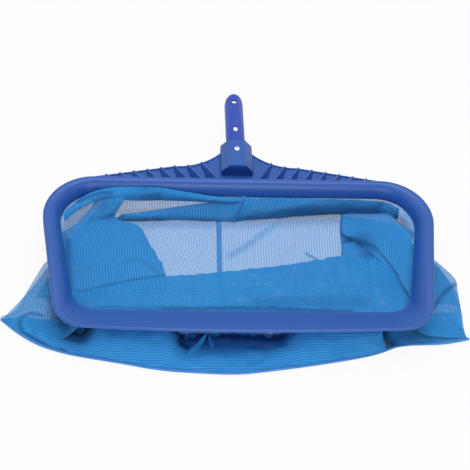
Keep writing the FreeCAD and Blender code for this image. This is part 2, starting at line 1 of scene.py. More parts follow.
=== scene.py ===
import logging
import math
from dataclasses import dataclass
from enum import Enum
from typing import ClassVar

import bmesh
import bpy
import numpy as np
from mathutils import Matrix, Vector, noise


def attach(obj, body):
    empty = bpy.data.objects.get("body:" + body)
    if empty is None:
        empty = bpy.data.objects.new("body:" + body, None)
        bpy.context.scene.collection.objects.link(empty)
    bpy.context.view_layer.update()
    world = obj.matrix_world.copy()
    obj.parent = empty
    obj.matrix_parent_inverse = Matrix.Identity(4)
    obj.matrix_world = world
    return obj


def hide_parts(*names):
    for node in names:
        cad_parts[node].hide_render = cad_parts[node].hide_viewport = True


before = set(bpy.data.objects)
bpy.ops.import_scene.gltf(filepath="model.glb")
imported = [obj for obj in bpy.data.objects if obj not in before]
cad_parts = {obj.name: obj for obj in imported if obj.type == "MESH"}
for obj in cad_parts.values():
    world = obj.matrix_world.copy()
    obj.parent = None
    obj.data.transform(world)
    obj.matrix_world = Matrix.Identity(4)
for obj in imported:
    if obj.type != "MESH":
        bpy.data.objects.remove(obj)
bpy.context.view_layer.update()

log = logging.getLogger("leaf_skimmer_net")

BODY = "root"
MM = 0.001
CREST_HEIGHT = 56.0
RING_SETBACK = 175.2

RIVET_NODES = ("tongue_rivet", "rivet_washer")
STRIP_NODES = ("retaining_strip_top", "retaining_strip_lip", "retaining_strip_left", "retaining_strip_right")

Point = tuple[float, float, float]
Spot = tuple[float, float]
Colour = tuple[float, float, float]


# A point has x, y and z, and a spot has x and y alone. The object's are written in millimetres about the
# ring: x to the right, y from the scooping lip towards the handle. Plastic parts count z up from the ring's
# crest and cloth counts it up from the floor.

class Level(Enum):
    """Where a set of points counts its heights from, as the height of that plane above the floor."""

    CREST = CREST_HEIGHT
    FLOOR = 0.0


def in_row_frame(points: np.ndarray, level: Level) -> np.ndarray:
    """Turn points about the ring, in millimetres, into the row frame, in metres.

    Args:
        points: an array whose last axis holds x, y and z.
        level: the plane that z is counted from.

    Returns:
        A new array of the same shape.
    """
    shifted = np.asarray(points, float) + np.array([0.0, -RING_SETBACK, level.value])
    return shifted * MM


# Materials

class Nodes:
    """A short way to build a node tree: each call adds one node and links its inputs."""

    def __init__(self, tree: bpy.types.NodeTree) -> None:
        """Start with an empty tree."""
        self.tree = tree
        tree.nodes.clear()

    def add(self, kind: str, inputs: dict[str | int, object] | None = None,
            **settings: object) -> bpy.types.Node:
        """Add a node.

        Args:
            kind: Blender's name for the type of node.
            inputs: input names or positions, each with a value or an output socket to link.
            settings: properties of the node itself.

        Returns:
            The new node.
        """
        node = self.tree.nodes.new(kind)
        for name, value in settings.items():
            setattr(node, name, value)
        for name, value in (inputs or {}).items():
            socket = node.inputs[name]
            if isinstance(value, bpy.types.NodeSocket):
                self.tree.links.new(value, socket)
            else:
                socket.default_value = value
        return node

    def math(self, operation: str, *values: object) -> bpy.types.NodeSocket:
        """Add a Math node and return its value."""
        node = self.add("ShaderNodeMath", dict(enumerate(values)), operation=operation)
        return node.outputs[0]

    def blend(self, share: object, first: object, second: object) -> bpy.types.NodeSocket:
        """Mix two colours and return the result."""
        node = self.add("ShaderNodeMix", {"Factor": share, 6: first, 7: second}, data_type="RGBA")
        return node.outputs[2]

    def ramp(self, share: object, stops: list[tuple[float, float]]) -> bpy.types.NodeSocket:
        """Turn a value into a grey level through a colour ramp.

        Args:
            share: the value, as a number or a socket.
            stops: two places on the ramp, each with its grey level.

        Returns:
            The grey level.
        """
        node = self.add("ShaderNodeValToRGB", {"Fac": share})
        band = node.color_ramp.elements
        for element, (place, level) in zip(band, stops):
            element.position = place
            element.color = (level, level, level, 1.0)
        return node.outputs["Color"]

    def relief(self, height: bpy.types.NodeSocket, strength: float, depth: float) -> bpy.types.NodeSocket:
        """Turn a height into a normal."""
        bump = self.add("ShaderNodeBump", {"Height": height, "Strength": strength, "Distance": depth})
        return bump.outputs["Normal"]

    def surface(self, inputs: dict[str, object]) -> None:
        """Add the shader with its inputs and make it the material's surface."""
        shader = self.add("ShaderNodeBsdfPrincipled", inputs)
        self.add("ShaderNodeOutputMaterial", {"Surface": shader.outputs["BSDF"]})


def new_group(name: str, inputs: dict[str, tuple[str, object]], outputs: dict[str, str]) -> tuple[
        bpy.types.NodeTree, Nodes, bpy.types.Node]:
    """Start a shader node group.

    Args:
        name: the group's name.
        inputs: socket types and default values by name.
        outputs: socket types by name.

    Returns:
        The tree, its builder and its input node.
    """
    tree = bpy.data.node_groups.new(name, "ShaderNodeTree")
    for label, (kind, value) in inputs.items():
        socket = tree.interface.new_socket(label, in_out="INPUT", socket_type=kind)
        socket.default_value = value
    for label, kind in outputs.items():
        tree.interface.new_socket(label, in_out="OUTPUT", socket_type=kind)
    nodes = Nodes(tree)
    return tree, nodes, nodes.add("NodeGroupInput")


def new_material(name: str) -> tuple[bpy.types.Material, Nodes]:
    """Start a material.

    Args:
        name: the material's name.

    Returns:
        The material and the builder of its empty tree.
    """
    made = bpy.data.materials.new(name)
    made.use_nodes = True
    return made, Nodes(made.node_tree)


def mould_surface_group() -> bpy.types.NodeTree:
    """Build the look of a moulded surface: faint cloudiness, flow marks, scuffs and a fine grain.

    Returns:
        The group, which puts out a colour, a roughness and a height.
    """
    cloud_scale, cloud_tint, cloud_roughness = 9.0, 0.18, 0.12
    cloud_colour = (0.02, 0.05, 0.24, 1.0)
    flow_scale = (14.0, 260.0, 90.0)
    scuff_stops = [(0.62, 0.0), (0.78, 1.0)]
    scuff_roughness, scratch_height = 0.25, 0.5
    tree, nodes, given = new_group(
        "mould_surface",
        {
            "Colour": ("NodeSocketColor", (0.05, 0.13, 0.42, 1.0)),
            "Worn colour": ("NodeSocketColor", (0.12, 0.22, 0.52, 1.0)),
            "Roughness": ("NodeSocketFloat", 0.4),
            "Wear": ("NodeSocketFloat", 0.3),
            "Grain size": ("NodeSocketFloat", 1400.0),
        },
        {"Colour": "NodeSocketColor", "Roughness": "NodeSocketFloat", "Height": "NodeSocketFloat"},
    )
    place = nodes.add("ShaderNodeTexCoord").outputs["Object"]
    cloud = nodes.add("ShaderNodeTexNoise", {
        "Vector": place, "Scale": cloud_scale, "Detail": 3.0,
    }).outputs["Fac"]
    grain = nodes.add("ShaderNodeTexNoise", {
        "Vector": place, "Scale": given.outputs["Grain size"], "Detail": 2.0,
    }).outputs["Fac"]
    flow = nodes.add("ShaderNodeMapping", {"Vector": place, "Scale": flow_scale}).outputs["Vector"]
    scratch = nodes.add("ShaderNodeTexNoise", {
        "Vector": flow, "Scale": 1.0, "Detail": 4.0, "Roughness": 0.7,
    }).outputs["Fac"]
    worn = nodes.math("MULTIPLY", nodes.ramp(scratch, scuff_stops), given.outputs["Wear"])
    clouded = nodes.math("MULTIPLY", cloud, cloud_tint)
    deep = nodes.blend(clouded, given.outputs["Colour"], cloud_colour)
    colour = nodes.blend(worn, deep, given.outputs["Worn colour"])
    uneven = nodes.math("MULTIPLY_ADD", cloud, cloud_roughness, given.outputs["Roughness"])
    rough = nodes.math("MULTIPLY_ADD", worn, scuff_roughness, uneven)
    height = nodes.math("MULTIPLY_ADD", scratch, scratch_height, grain)
    nodes.add("NodeGroupOutput", {"Colour": colour, "Roughness": rough, "Height": height})
    return tree


def woven_mesh_group() -> bpy.types.NodeTree:
    """Build the look of an open weave: threads that cross at a steady pitch, with holes between them.

    It reads two maps of the cloth. One holds lengths along it, and the other the painted shade of its folds
    and hollows and how far they close the weave.

    Returns:
        The group, which puts out a colour, an alpha and a height.
    """
    wander_scale, wander_reach = 35.0, (0.5, 0.5, 0.0)
    patch_scale, patch_stops, patch_strength = 22.0, [(0.35, 0.0), (0.7, 0.6)], 0.8
    tree, nodes, given = new_group(
        "woven_mesh",
        {
            "Thread colour": ("NodeSocketColor", (0.03, 0.25, 0.7, 1.0)),
            "Deep colour": ("NodeSocketColor", (0.02, 0.12, 0.5, 1.0)),
            "Pitch": ("NodeSocketFloat", 1.5),
            "Thread share": ("NodeSocketFloat", 0.38),
            "Softness": ("NodeSocketFloat", 0.05),
            "Rib pitch": ("NodeSocketFloat", 3.4),
            "Rib strength": ("NodeSocketFloat", 0.25),
            "Rib shade": ("NodeSocketFloat", 0.9),
            # Painted shade colour, towards which folds and hollows are darkened.
            "Painted shade colour": ("NodeSocketColor", (0.003, 0.035, 0.16, 1.0)),
        },
        {"Colour": "NodeSocketColor", "Alpha": "NodeSocketFloat", "Height": "NodeSocketFloat"},
    )
    along = nodes.add("ShaderNodeUVMap", uv_map="weave").outputs["UV"]
    place = nodes.add("ShaderNodeTexCoord").outputs["Object"]
    wander = nodes.add("ShaderNodeTexNoise", {"Vector": place, "Scale": wander_scale, "Detail": 2.0})
    drift = nodes.add("ShaderNodeVectorMath", {0: wander.outputs["Color"], 1: wander_reach},
                      operation="MULTIPLY").outputs[0]
    moved = nodes.add("ShaderNodeVectorMath", {0: along, 1: drift}, operation="ADD").outputs[0]
    split = nodes.add("ShaderNodeSeparateXYZ", {"Vector": moved})
    inner = nodes.math("MULTIPLY", given.outputs["Thread share"], 0.5)
    inner_edge = nodes.math("SUBTRACT", inner, given.outputs["Softness"])
    outer_edge = nodes.math("ADD", inner, given.outputs["Softness"])
    covers, threads = [], []
    for axis in ("X", "Y"):
        turns = nodes.math("DIVIDE", split.outputs[axis], given.outputs["Pitch"])
        triangle = nodes.math("PINGPONG", turns, 0.5)
        cover = nodes.add("ShaderNodeMapRange", {
            "Value": triangle, "From Min": inner_edge, "From Max": outer_edge, "To Min": 1.0, "To Max": 0.0,
        }, interpolation_type="SMOOTHSTEP").outputs["Result"]
        covers.append(cover)
        off_middle = nodes.math("MINIMUM", nodes.math("DIVIDE", triangle, inner), 1.0)
        threads.append(nodes.math("SQRT", nodes.math("SUBTRACT", 1.0, nodes.math("POWER", off_middle, 2.0))))
    rib_turns = nodes.math("DIVIDE", split.outputs["X"], given.outputs["Rib pitch"])
    rib = nodes.math("MULTIPLY", nodes.math("PINGPONG", rib_turns, 0.5), 2.0)
    thicker = nodes.math("MULTIPLY", rib, given.outputs["Rib strength"])
    # Painted shade from the cloth's marks, and how far they close the weave.
    fold_shade_and_closing = nodes.add("ShaderNodeSeparateXYZ", {
        "Vector": nodes.add("ShaderNodeUVMap", uv_map="folds").outputs["UV"],
    })
    closed = nodes.math("ADD", thicker, fold_shade_and_closing.outputs["Y"])
    alpha = nodes.math("MINIMUM", nodes.math("ADD", nodes.math("MAXIMUM", *covers), closed), 1.0)
    cloud = nodes.add("ShaderNodeTexNoise", {
        "Vector": place, "Scale": patch_scale, "Detail": 3.0,
    }).outputs["Fac"]
    patches = nodes.math("MULTIPLY", nodes.ramp(cloud, patch_stops), patch_strength)
    depth = nodes.math("MAXIMUM", patches, nodes.math("MULTIPLY", rib, given.outputs["Rib shade"]))
    threaded = nodes.blend(depth, given.outputs["Thread colour"], given.outputs["Deep colour"])
    # Painted shade: the threads darken towards the shade colour along folds and hollows.
    colour = nodes.blend(fold_shade_and_closing.outputs["X"], threaded, given.outputs["Painted shade colour"])
    height = nodes.math("MAXIMUM", *threads)
    nodes.add("NodeGroupOutput", {"Colour": colour, "Alpha": alpha, "Height": height})
    return tree


def tape_weave_group() -> bpy.types.NodeTree:
    """Build the look of tightly woven tape: fine diagonal ribs over a cloudy ground.

    Returns:
        The group, which puts out a colour and a height.
    """
    rib_waver, cloud_scale, shade_strength = 0.6, 60.0, 0.35
    shade_colour = (0.01, 0.06, 0.25, 1.0)
    tree, nodes, given = new_group(
        "tape_weave",
        {
            "Colour": ("NodeSocketColor", (0.05, 0.28, 0.62, 1.0)),
            "Ribs per metre": ("NodeSocketFloat", 900.0),
        },
        {"Colour": "NodeSocketColor", "Height": "NodeSocketFloat"},
    )
    place = nodes.add("ShaderNodeTexCoord").outputs["Object"]
    wave = nodes.add("ShaderNodeTexWave", {
        "Vector": place, "Scale": given.outputs["Ribs per metre"], "Distortion": rib_waver,
    }, bands_direction="DIAGONAL").outputs["Fac"]
    cloud = nodes.add("ShaderNodeTexNoise", {"Vector": place, "Scale": cloud_scale}).outputs["Fac"]
    shade = nodes.math("MULTIPLY", nodes.math("ADD", wave, cloud), shade_strength)
    colour = nodes.blend(shade, given.outputs["Colour"], shade_colour)
    nodes.add("NodeGroupOutput", {"Colour": colour, "Height": wave})
    return tree


@dataclass(frozen=True)
class PlasticFinish:
    """A satin moulded plastic."""

    name: str
    slot: str
    colour: Colour
    worn: Colour
    roughness: float
    wear: float
    relief: float = 0.12
    relief_depth: float = 0.0004
    index: float = 1.49

    def material(self, group: bpy.types.NodeTree) -> bpy.types.Material:
        """Build the material.

        Args:
            group: the shared moulded surface.

        Returns:
            The material.
        """
        made, nodes = new_material(self.name)
        mould = nodes.add("ShaderNodeGroup", node_tree=group)
        mould.inputs["Colour"].default_value = (*self.colour, 1.0)
        mould.inputs["Worn colour"].default_value = (*self.worn, 1.0)
        mould.inputs["Roughness"].default_value = self.roughness
        mould.inputs["Wear"].default_value = self.wear
        nodes.surface({
            "Base Color": mould.outputs["Colour"], "Roughness": mould.outputs["Roughness"],
            "Normal": nodes.relief(mould.outputs["Height"], self.relief, self.relief_depth),
            "IOR": self.index,
        })
        return made


@dataclass(frozen=True)
class NetFinish:
    """A see-through woven net, whose pitch is in millimetres and whose share is of thread to pitch."""

    name: str
    slot: str
    thread: Colour
    deep: Colour
    pitch: float
    share: float
    upward: float
    roughness: float = 0.6
    shine: float = 0.12
    relief: float = 0.7
    relief_depth: float = 0.0003

    def material(self, group: bpy.types.NodeTree) -> bpy.types.Material:
        """Build the material, whose holes come from the weave on the cloth's own map.

        Its round threads catch light from above however the cloth slopes, so its normal leans upwards.

        Args:
            group: the shared open weave.

        Returns:
            The material.
        """
        made, nodes = new_material(self.name)
        weave = nodes.add("ShaderNodeGroup", node_tree=group)
        weave.inputs["Thread colour"].default_value = (*self.thread, 1.0)
        weave.inputs["Deep colour"].default_value = (*self.deep, 1.0)
        weave.inputs["Pitch"].default_value = self.pitch
        weave.inputs["Thread share"].default_value = self.share
        bumpy = nodes.relief(weave.outputs["Height"], self.relief, self.relief_depth)
        leaning = nodes.add("ShaderNodeVectorMath", {0: bumpy, 1: (0.0, 0.0, self.upward)},
                            operation="ADD").outputs[0]
        nodes.surface({
            "Base Color": weave.outputs["Colour"], "Roughness": self.roughness,
            "Alpha": weave.outputs["Alpha"], "Specular IOR Level": self.shine,
            "Normal": nodes.add("ShaderNodeVectorMath", {0: leaning}, operation="NORMALIZE").outputs[0],
        })
        return made


@dataclass(frozen=True)
class TapeFinish:
    """A tightly woven tape or a seam of several layers."""

    name: str
    slot: str
    colour: Colour
    roughness: float = 0.7
    sheen: float = 0.25
    relief: float = 0.35
    relief_depth: float = 0.0003

    def material(self, group: bpy.types.NodeTree) -> bpy.types.Material:
        """Build the material.

        Args:
            group: the shared tape weave.

        Returns:
            The material.
        """
        made, nodes = new_material(self.name)
        weave = nodes.add("ShaderNodeGroup", node_tree=group)
        weave.inputs["Colour"].default_value = (*self.colour, 1.0)
        nodes.surface({
            "Base Color": weave.outputs["Colour"], "Roughness": self.roughness,
            "Normal": nodes.relief(weave.outputs["Height"], self.relief, self.relief_depth),
            "Sheen Weight": self.sheen,
        })
        return made


@dataclass(frozen=True)
class MetalFinish:
    """Bright drawn aluminium with turning marks."""

    name: str
    slot: str
    colour: Colour
    roughness: float
    shade: Colour = (0.6, 0.62, 0.66)
    marks_scale: float = 2500.0
    marks_tint: float = 0.3
    marks_roughness: float = 0.15

    def material(self) -> bpy.types.Material:
        """Build the material.

        Returns:
            The material.
        """
        made, nodes = new_material(self.name)
        place = nodes.add("ShaderNodeTexCoord").outputs["Object"]
        marks = nodes.add("ShaderNodeTexNoise", {
            "Vector": place, "Scale": self.marks_scale, "Detail": 2.0,
        }).outputs["Fac"]
        tinted = nodes.math("MULTIPLY", marks, self.marks_tint)
        nodes.surface({
            "Base Color": nodes.blend(tinted, (*self.colour, 1.0), (*self.shade, 1.0)),
            "Roughness": nodes.math("MULTIPLY_ADD", marks, self.marks_roughness, self.roughness),
            "Metallic": 1.0,
        })
        return made


FRAME_PLASTIC = PlasticFinish("frame_plastic", "frame_plastic", colour=(0.011, 0.085, 0.37),
                              worn=(0.05, 0.16, 0.48), roughness=0.36, wear=0.3)
TONGUE_PLASTIC = PlasticFinish("tongue_plastic", "tongue_plastic", colour=(0.008, 0.055, 0.44),
                               worn=(0.06, 0.13, 0.52), roughness=0.34, wear=0.4)
STRIP_PLASTIC = PlasticFinish("strip_plastic", "strip_plastic", colour=(0.045, 0.11, 0.36),
                              worn=(0.10, 0.18, 0.45), roughness=0.5, wear=0.4)
RIVET_METAL = MetalFinish("rivet_metal", "rivet_metal", colour=(0.88, 0.89, 0.91), roughness=0.22)
NET_MESH = NetFinish("net_mesh", "net_mesh", thread=(0.052, 0.39, 0.84), deep=(0.012, 0.16, 0.51),
                     pitch=1.0, share=0.42, upward=0.7)
SEAM_TAPE = TapeFinish("seam_tape", "hem_webbing", colour=(0.045, 0.30, 0.75))
HEM_TAPE = TapeFinish("hem_tape_cloth", "hem_webbing", colour=(0.05, 0.25, 0.62))
STITCH_THREAD = TapeFinish("stitch_thread", "hem_webbing", colour=(0.03, 0.12, 0.42))


class Wardrobe:
    """Every material of the object, built once."""

    def __init__(self) -> None:
        """Build the shared groups and then each finish."""
        mould = mould_surface_group()
        tape = tape_weave_group()
        self.frame = FRAME_PLASTIC.material(mould)
        self.tongue = TONGUE_PLASTIC.material(mould)
        self.strip = STRIP_PLASTIC.material(mould)
        self.rivet = RIVET_METAL.material()
        self.net = NET_MESH.material(woven_mesh_group())
        self.seam = SEAM_TAPE.material(tape)
        self.hem = HEM_TAPE.material(tape)
        self.stitch = STITCH_THREAD.material(tape)


# Meshes

def paint(mesh: bpy.types.Mesh, material: bpy.types.Material) -> None:
    """Give a mesh its one material."""
    mesh.materials.clear()
    mesh.materials.append(material)


def link_mesh(name: str, mesh: bpy.types.Mesh, material: bpy.types.Material) -> bpy.types.Object:
    """Put a finished mesh into the scene.

    Args:
        name: the piece's name.
        mesh: its mesh, with its place in it.
        material: its one material.

    Returns:
        The piece.
    """
    mesh.name = name
    paint(mesh, material)
    piece = bpy.data.objects.new(name, mesh)
    bpy.context.scene.collection.objects.link(piece)
    return piece


def grid_mesh(points: np.ndarray, closed_u: bool = False, closed_v: bool = False) -> bpy.types.Mesh:
    """Make a smooth quad mesh from a grid of points.

    Args:
        points: rows by columns by 3, in metres.
        closed_u: join the last column to the first.
        closed_v: join the last row to the first.

    Returns:
        A mesh with smooth faces.
    """
    rows, columns = points.shape[:2]
    index = np.arange(rows * columns).reshape(rows, columns)
    if closed_v:
        index = np.vstack([index, index[:1]])
    if closed_u:
        index = np.hstack([index, index[:, :1]])
    faces = np.stack([index[:-1, :-1], index[:-1, 1:], index[1:, 1:], index[1:, :-1]], axis=-1)
    mesh = bpy.data.meshes.new("grid")
    mesh.from_pydata(points.reshape(-1, 3).tolist(), [], faces.reshape(-1, 4).tolist())
    mesh.shade_smooth()
    return mesh


def cad_copy(node: str, bevel: float) -> bpy.types.Mesh:
    """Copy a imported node's mesh, join its triangles into flat faces and round its sharp edges a little.

    Args:
        node: the node's name.
        bevel: width of the rounding in millimetres.

    Returns:
        A new mesh in the row frame.
    """
    same_place, same_plane, sharp_edge = 1e-6, math.radians(0.5), math.radians(32.0)
    rounding_steps = 2
    work = bmesh.new()
    work.from_mesh(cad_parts[node].data)
    bmesh.ops.remove_doubles(work, verts=work.verts, dist=same_place)
    bmesh.ops.dissolve_limit(work, angle_limit=same_plane, verts=work.verts, edges=work.edges)
    mesh = bpy.data.meshes.new(node)
    work.to_mesh(mesh)
    work.free()
    piece = bpy.data.objects.new("scratch", mesh)
    bpy.context.scene.collection.objects.link(piece)
    soften = piece.modifiers.new("soften", "BEVEL")
    soften.width = bevel * MM
    soften.segments = rounding_steps
    soften.limit_method = "ANGLE"
    soften.angle_limit = sharp_edge
    soften.harden_normals = True
    result = evaluated_mesh(piece)
    bpy.data.objects.remove(piece)
    return result


def evaluated_mesh(piece: bpy.types.Object) -> bpy.types.Mesh:
    """Carry out an object's modifiers.

    Args:
        piece: the object.

    Returns:
        A new plain mesh.
    """
    bpy.context.view_layer.update()
    graph = bpy.context.evaluated_depsgraph_get()
    return bpy.data.meshes.new_from_object(piece.evaluated_get(graph))


def at_height(outline: np.ndarray, height: float | np.ndarray) -> np.ndarray:
    """Return an outline of x and y as points at one height, or at a height for each."""
    return np.column_stack([outline, np.broadcast_to(height, len(outline))])


# Ring outlines

@dataclass(frozen=True)
class OutlineSteps:
    """How many steps an outline takes along its front or back edge, round a corner and along a side."""

    front: int = 48
    corner: int = 18
    side: int = 24


@dataclass(frozen=True)
class RoundedOutline:
    """A closed outline, mirrored about the y axis, with four round corners and a bowed front."""

    half_front: float
    half_back: float
    front: float
    back: float
    bow: float
    front_radius: float
    back_radius: float

    STEPS: ClassVar[OutlineSteps] = OutlineSteps()

    def points(self) -> np.ndarray:
        """Sample the outline anticlockwise from the left end of the front edge.

        Returns:
            Points as an array of x and y. All outlines match point for point.
        """
        front_steps, corner_steps, side_steps = self.STEPS.front, self.STEPS.corner, self.STEPS.side
        x1 = self.half_front - self.front_radius
        y1 = self.front + self.bow + self.front_radius
        x2 = self.half_back - self.back_radius
        y2 = self.back - self.back_radius
        r1, r2 = self.front_radius, self.back_radius
        edge = (x1 ** 2 + (self.bow + r1) ** 2 - r1 ** 2) / (2 * self.bow)
        edge_y = self.front + edge
        side = math.atan2(y2 - y1, x2 - x1) - math.acos((r1 - r2) / math.hypot(x2 - x1, y2 - y1))
        corner = math.atan2(y1 - edge_y, x1)

        def arc(x: float, y: float, radius: float, start: float, end: float, steps: int) -> np.ndarray:
            """Sample an arc, leaving out its last point."""
            turn = np.linspace(start, end, steps, endpoint=False)
            return np.stack([x + radius * np.cos(turn), y + radius * np.sin(turn)], axis=-1)

        def line(start: np.ndarray, end: np.ndarray, steps: int) -> np.ndarray:
            """Sample a line, leaving out its last point."""
            share = np.linspace(0.0, 1.0, steps, endpoint=False)[:, None]
            return start * (1 - share) + end * share

        def on(x: float, y: float, radius: float, turn: float) -> np.ndarray:
            """Return a point on a circle."""
            return np.array([x + radius * math.cos(turn), y + radius * math.sin(turn)])

        return np.vstack([
            arc(0.0, edge_y, edge, -math.pi - corner, corner, front_steps),
            arc(x1, y1, r1, corner, side, corner_steps),
            line(on(x1, y1, r1, side), on(x2, y2, r2, side), side_steps),
            arc(x2, y2, r2, side, math.pi / 2, corner_steps),
            line(np.array([x2, y2 + r2]), np.array([-x2, y2 + r2]), front_steps),
            arc(-x2, y2, r2, math.pi / 2, math.pi - side, corner_steps),
            line(on(-x2, y2, r2, math.pi - side), on(-x1, y1, r1, math.pi - side), side_steps),
            arc(-x1, y1, r1, math.pi - side, math.pi - corner, corner_steps),
        ])


@dataclass(frozen=True)
class ScoopRing:
    """The moulded ring: a bead round the outside, a curved flank, and a ramp at the scooping lip."""

    # Seen from above
    half_width: float = 240.4
    lip_half_width: float = 224.0
    back: float = 231.0
    front: float = -5.0
    lip_bow: float = 5.0
    inner_bow: float = 1.0
    back_radius: float = 62.0
    front_radius: float = 40.0

    # Bars, bead and lip
    depth: float = 22.0
    bead_width: float = 5.0
    bead_edge: float = 3.2
    bead_drop: float = 4.0
    lip_bead_share: float = 0.8
    side_bar: float = 21.0
    back_bar: float = 14.0
    lip_ramp: float = 39.4
    lip_edge: float = 1.2
    lip_rail: float = 13.5
    foot_rounding: float = 0.8

    # Groove on the underside, and the hem in it
    wall: float = 3.0
    flank_wall: float = 2.6
    flank_wall_shares: tuple[float, float] = (0.8, 0.6)
    groove_top: float = 7.0
    groove_shoulder: float = 8.5
    groove_narrowing: float = 8.0
    lip_groove_top: float = 12.4
    lip_groove_drop: float = 0.8
    lip_groove_narrowing: float = 1.0
    hem_gap: float = 1.8
    hem_thickness: float = 2.4
    hem_at_lip: float = 22.1

    # Fineness
    bead_levels: int = 8
    flank_levels: int = 16
    sharp_angle: float = 40.0

    def outline(self, side: float, back: float, front: float, bow: float) -> np.ndarray:
        """Trace the ring's outline, drawn in.

        Args:
            side: inset at both sides.
            back: inset at the back.
            front: inset at the lip.
            bow: how far the lip then bows outwards.

        Returns:
            Points as an array of x and y.
        """
        return RoundedOutline(
            self.lip_half_width - side, self.half_width - side, self.front + front + self.lip_bow - bow,
            self.back - back, bow, self.front_radius - side / 2, self.back_radius - (side + back) / 2,
        ).points()

    def flank(self, share: float, offset: float) -> tuple[np.ndarray, float]:
        """Trace the inner flank at one level.

        Args:
            share: how far down the level is, as a share of the ring's depth.
            offset: how far the outline is moved outwards.

        Returns:
            The outline and its height.
        """
        curve = math.sqrt(max(0.0, 1 - (1 - share) ** 2))
        bow = self.lip_bow + share * (self.inner_bow - self.lip_bow)
        outline = self.outline(
            self.bead_width + (self.side_bar - self.bead_width) * curve - offset,
            self.bead_width + (self.back_bar - self.bead_width) * curve - offset,
            self.lip_edge + (self.lip_ramp - self.lip_edge) * share - offset,
            bow,
        )
        return outline, -self.depth * share

    def bead(self, turn: float) -> tuple[np.ndarray, float]:
        """Trace the bead at one level.

        Args:
            turn: from 0, on the outer wall, to a quarter turn, on the crest.

        Returns:
            The outline and its height.
        """
        inward = 1 - math.cos(turn)
        inset = self.bead_edge * inward
        lip_inset = self.lip_edge * self.lip_bead_share * inward
        return self.outline(inset, inset, lip_inset, self.lip_bow), -self.bead_drop * (1 - math.sin(turn))

    def lip_share(self) -> np.ndarray:
        """Find how much each point of an outline belongs to the lip.

        Returns:
            1 along the lip, fading to 0 in its corners.
        """
        steps = RoundedOutline.STEPS
        rest = 2 * steps.side + 2 * steps.corner + steps.front
        return np.concatenate([
            np.ones(steps.front), np.linspace(1.0, 0.0, steps.corner), np.zeros(rest),
            np.linspace(0.0, 1.0, steps.corner),
        ])

    def section(self) -> list[tuple[np.ndarray, float | np.ndarray]]:
        """Trace the ring level by level.

        Returns:
            Outlines with their heights, from the outer foot over the crest and round the groove.
        """
        soft = self.foot_rounding
        levels = [
            (self.outline(soft, soft, self.lip_rail + soft, self.inner_bow), -self.depth),
            (self.outline(0.0, 0.0, self.lip_rail, self.inner_bow), soft - self.depth),
        ]
        levels += [self.bead(turn) for turn in np.linspace(0.0, math.pi / 2, self.bead_levels)]
        shares = 1 - np.cos(np.linspace(0.0, math.pi / 2, self.flank_levels))
        levels += [self.flank(share, 0.0) for share in shares if share * self.depth < self.depth - soft]
        levels += [
            (self.flank(1.0, 0.0)[0], soft - self.depth),
            (self.flank(1.0, soft)[0], -self.depth),
            (self.flank(1.0, self.flank_wall)[0], -self.depth),
        ]
        levels += [self.flank(share, self.flank_wall) for share in self.flank_wall_shares]
        lip = self.lip_share()
        lip_shoulder = self.lip_groove_top + self.lip_groove_drop
        shoulder = self.groove_shoulder + lip * (lip_shoulder - self.groove_shoulder)
        top = self.groove_top + lip * (self.lip_groove_top - self.groove_top)
        side, front = self.wall + self.groove_narrowing, self.lip_rail + self.wall
        narrow = self.outline(side, side, front + self.lip_groove_narrowing, self.inner_bow)
        wide = self.outline(self.wall, self.wall, front, self.inner_bow)
        levels += [(narrow, -shoulder), (wide, -top), (wide, -self.depth)]
        return levels

    def hem_line(self, outward: float) -> np.ndarray:
        """Trace the net's hem in the groove.

        Args:
            outward: how far outwards the line is moved.

        Returns:
            Points as an array of x and y.
        """
        clear = self.flank_wall + self.hem_gap
        return self.outline(self.side_bar - clear - outward, self.back_bar - clear - outward,
                            self.hem_at_lip - outward, self.inner_bow)

    def build(self, materials: Wardrobe) -> bpy.types.Object:
        """Build the ring as one closed skin and dress it.

        Args:
            materials: the object's materials.

        Returns:
            The piece.
        """
        points = np.stack([at_height(outline, height) for outline, height in self.section()])
        mesh = grid_mesh(in_row_frame(points, Level.CREST), closed_u=True, closed_v=True)
        piece = link_mesh("ring_moulding", mesh, materials.frame)
        face_outwards(mesh)
        mesh.set_sharp_from_angle(angle=math.radians(self.sharp_angle))
        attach(piece, BODY)
        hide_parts("scoop_ring")
        return piece


def face_outwards(mesh: bpy.types.Mesh) -> None:
    """Make the faces of a closed mesh point outwards.

    Args:
        mesh: the mesh, which is changed.
    """
    work = bmesh.new()
    work.from_mesh(mesh)
    bmesh.ops.recalc_face_normals(work, faces=work.faces)
    work.to_mesh(mesh)
    work.free()


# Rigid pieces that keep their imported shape

@dataclass(frozen=True)
class RoundedCopies:
    """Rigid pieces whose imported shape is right: each is a copy with softened edges."""

    bevel: float = 0.5

    def build(self, name: str, node: str, slot: str, material: bpy.types.Material) -> bpy.types.Object:
        """Build one softened copy and let it stand for its node.

        Args:
            name: the piece's name.
            node: the node that it copies.
            slot: the record's name for its material, not used.
            material: its material.

        Returns:
            The piece.
        """
        piece = link_mesh(name, cad_copy(node, self.bevel), material)
        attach(piece, BODY)
        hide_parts(node)
        return piece


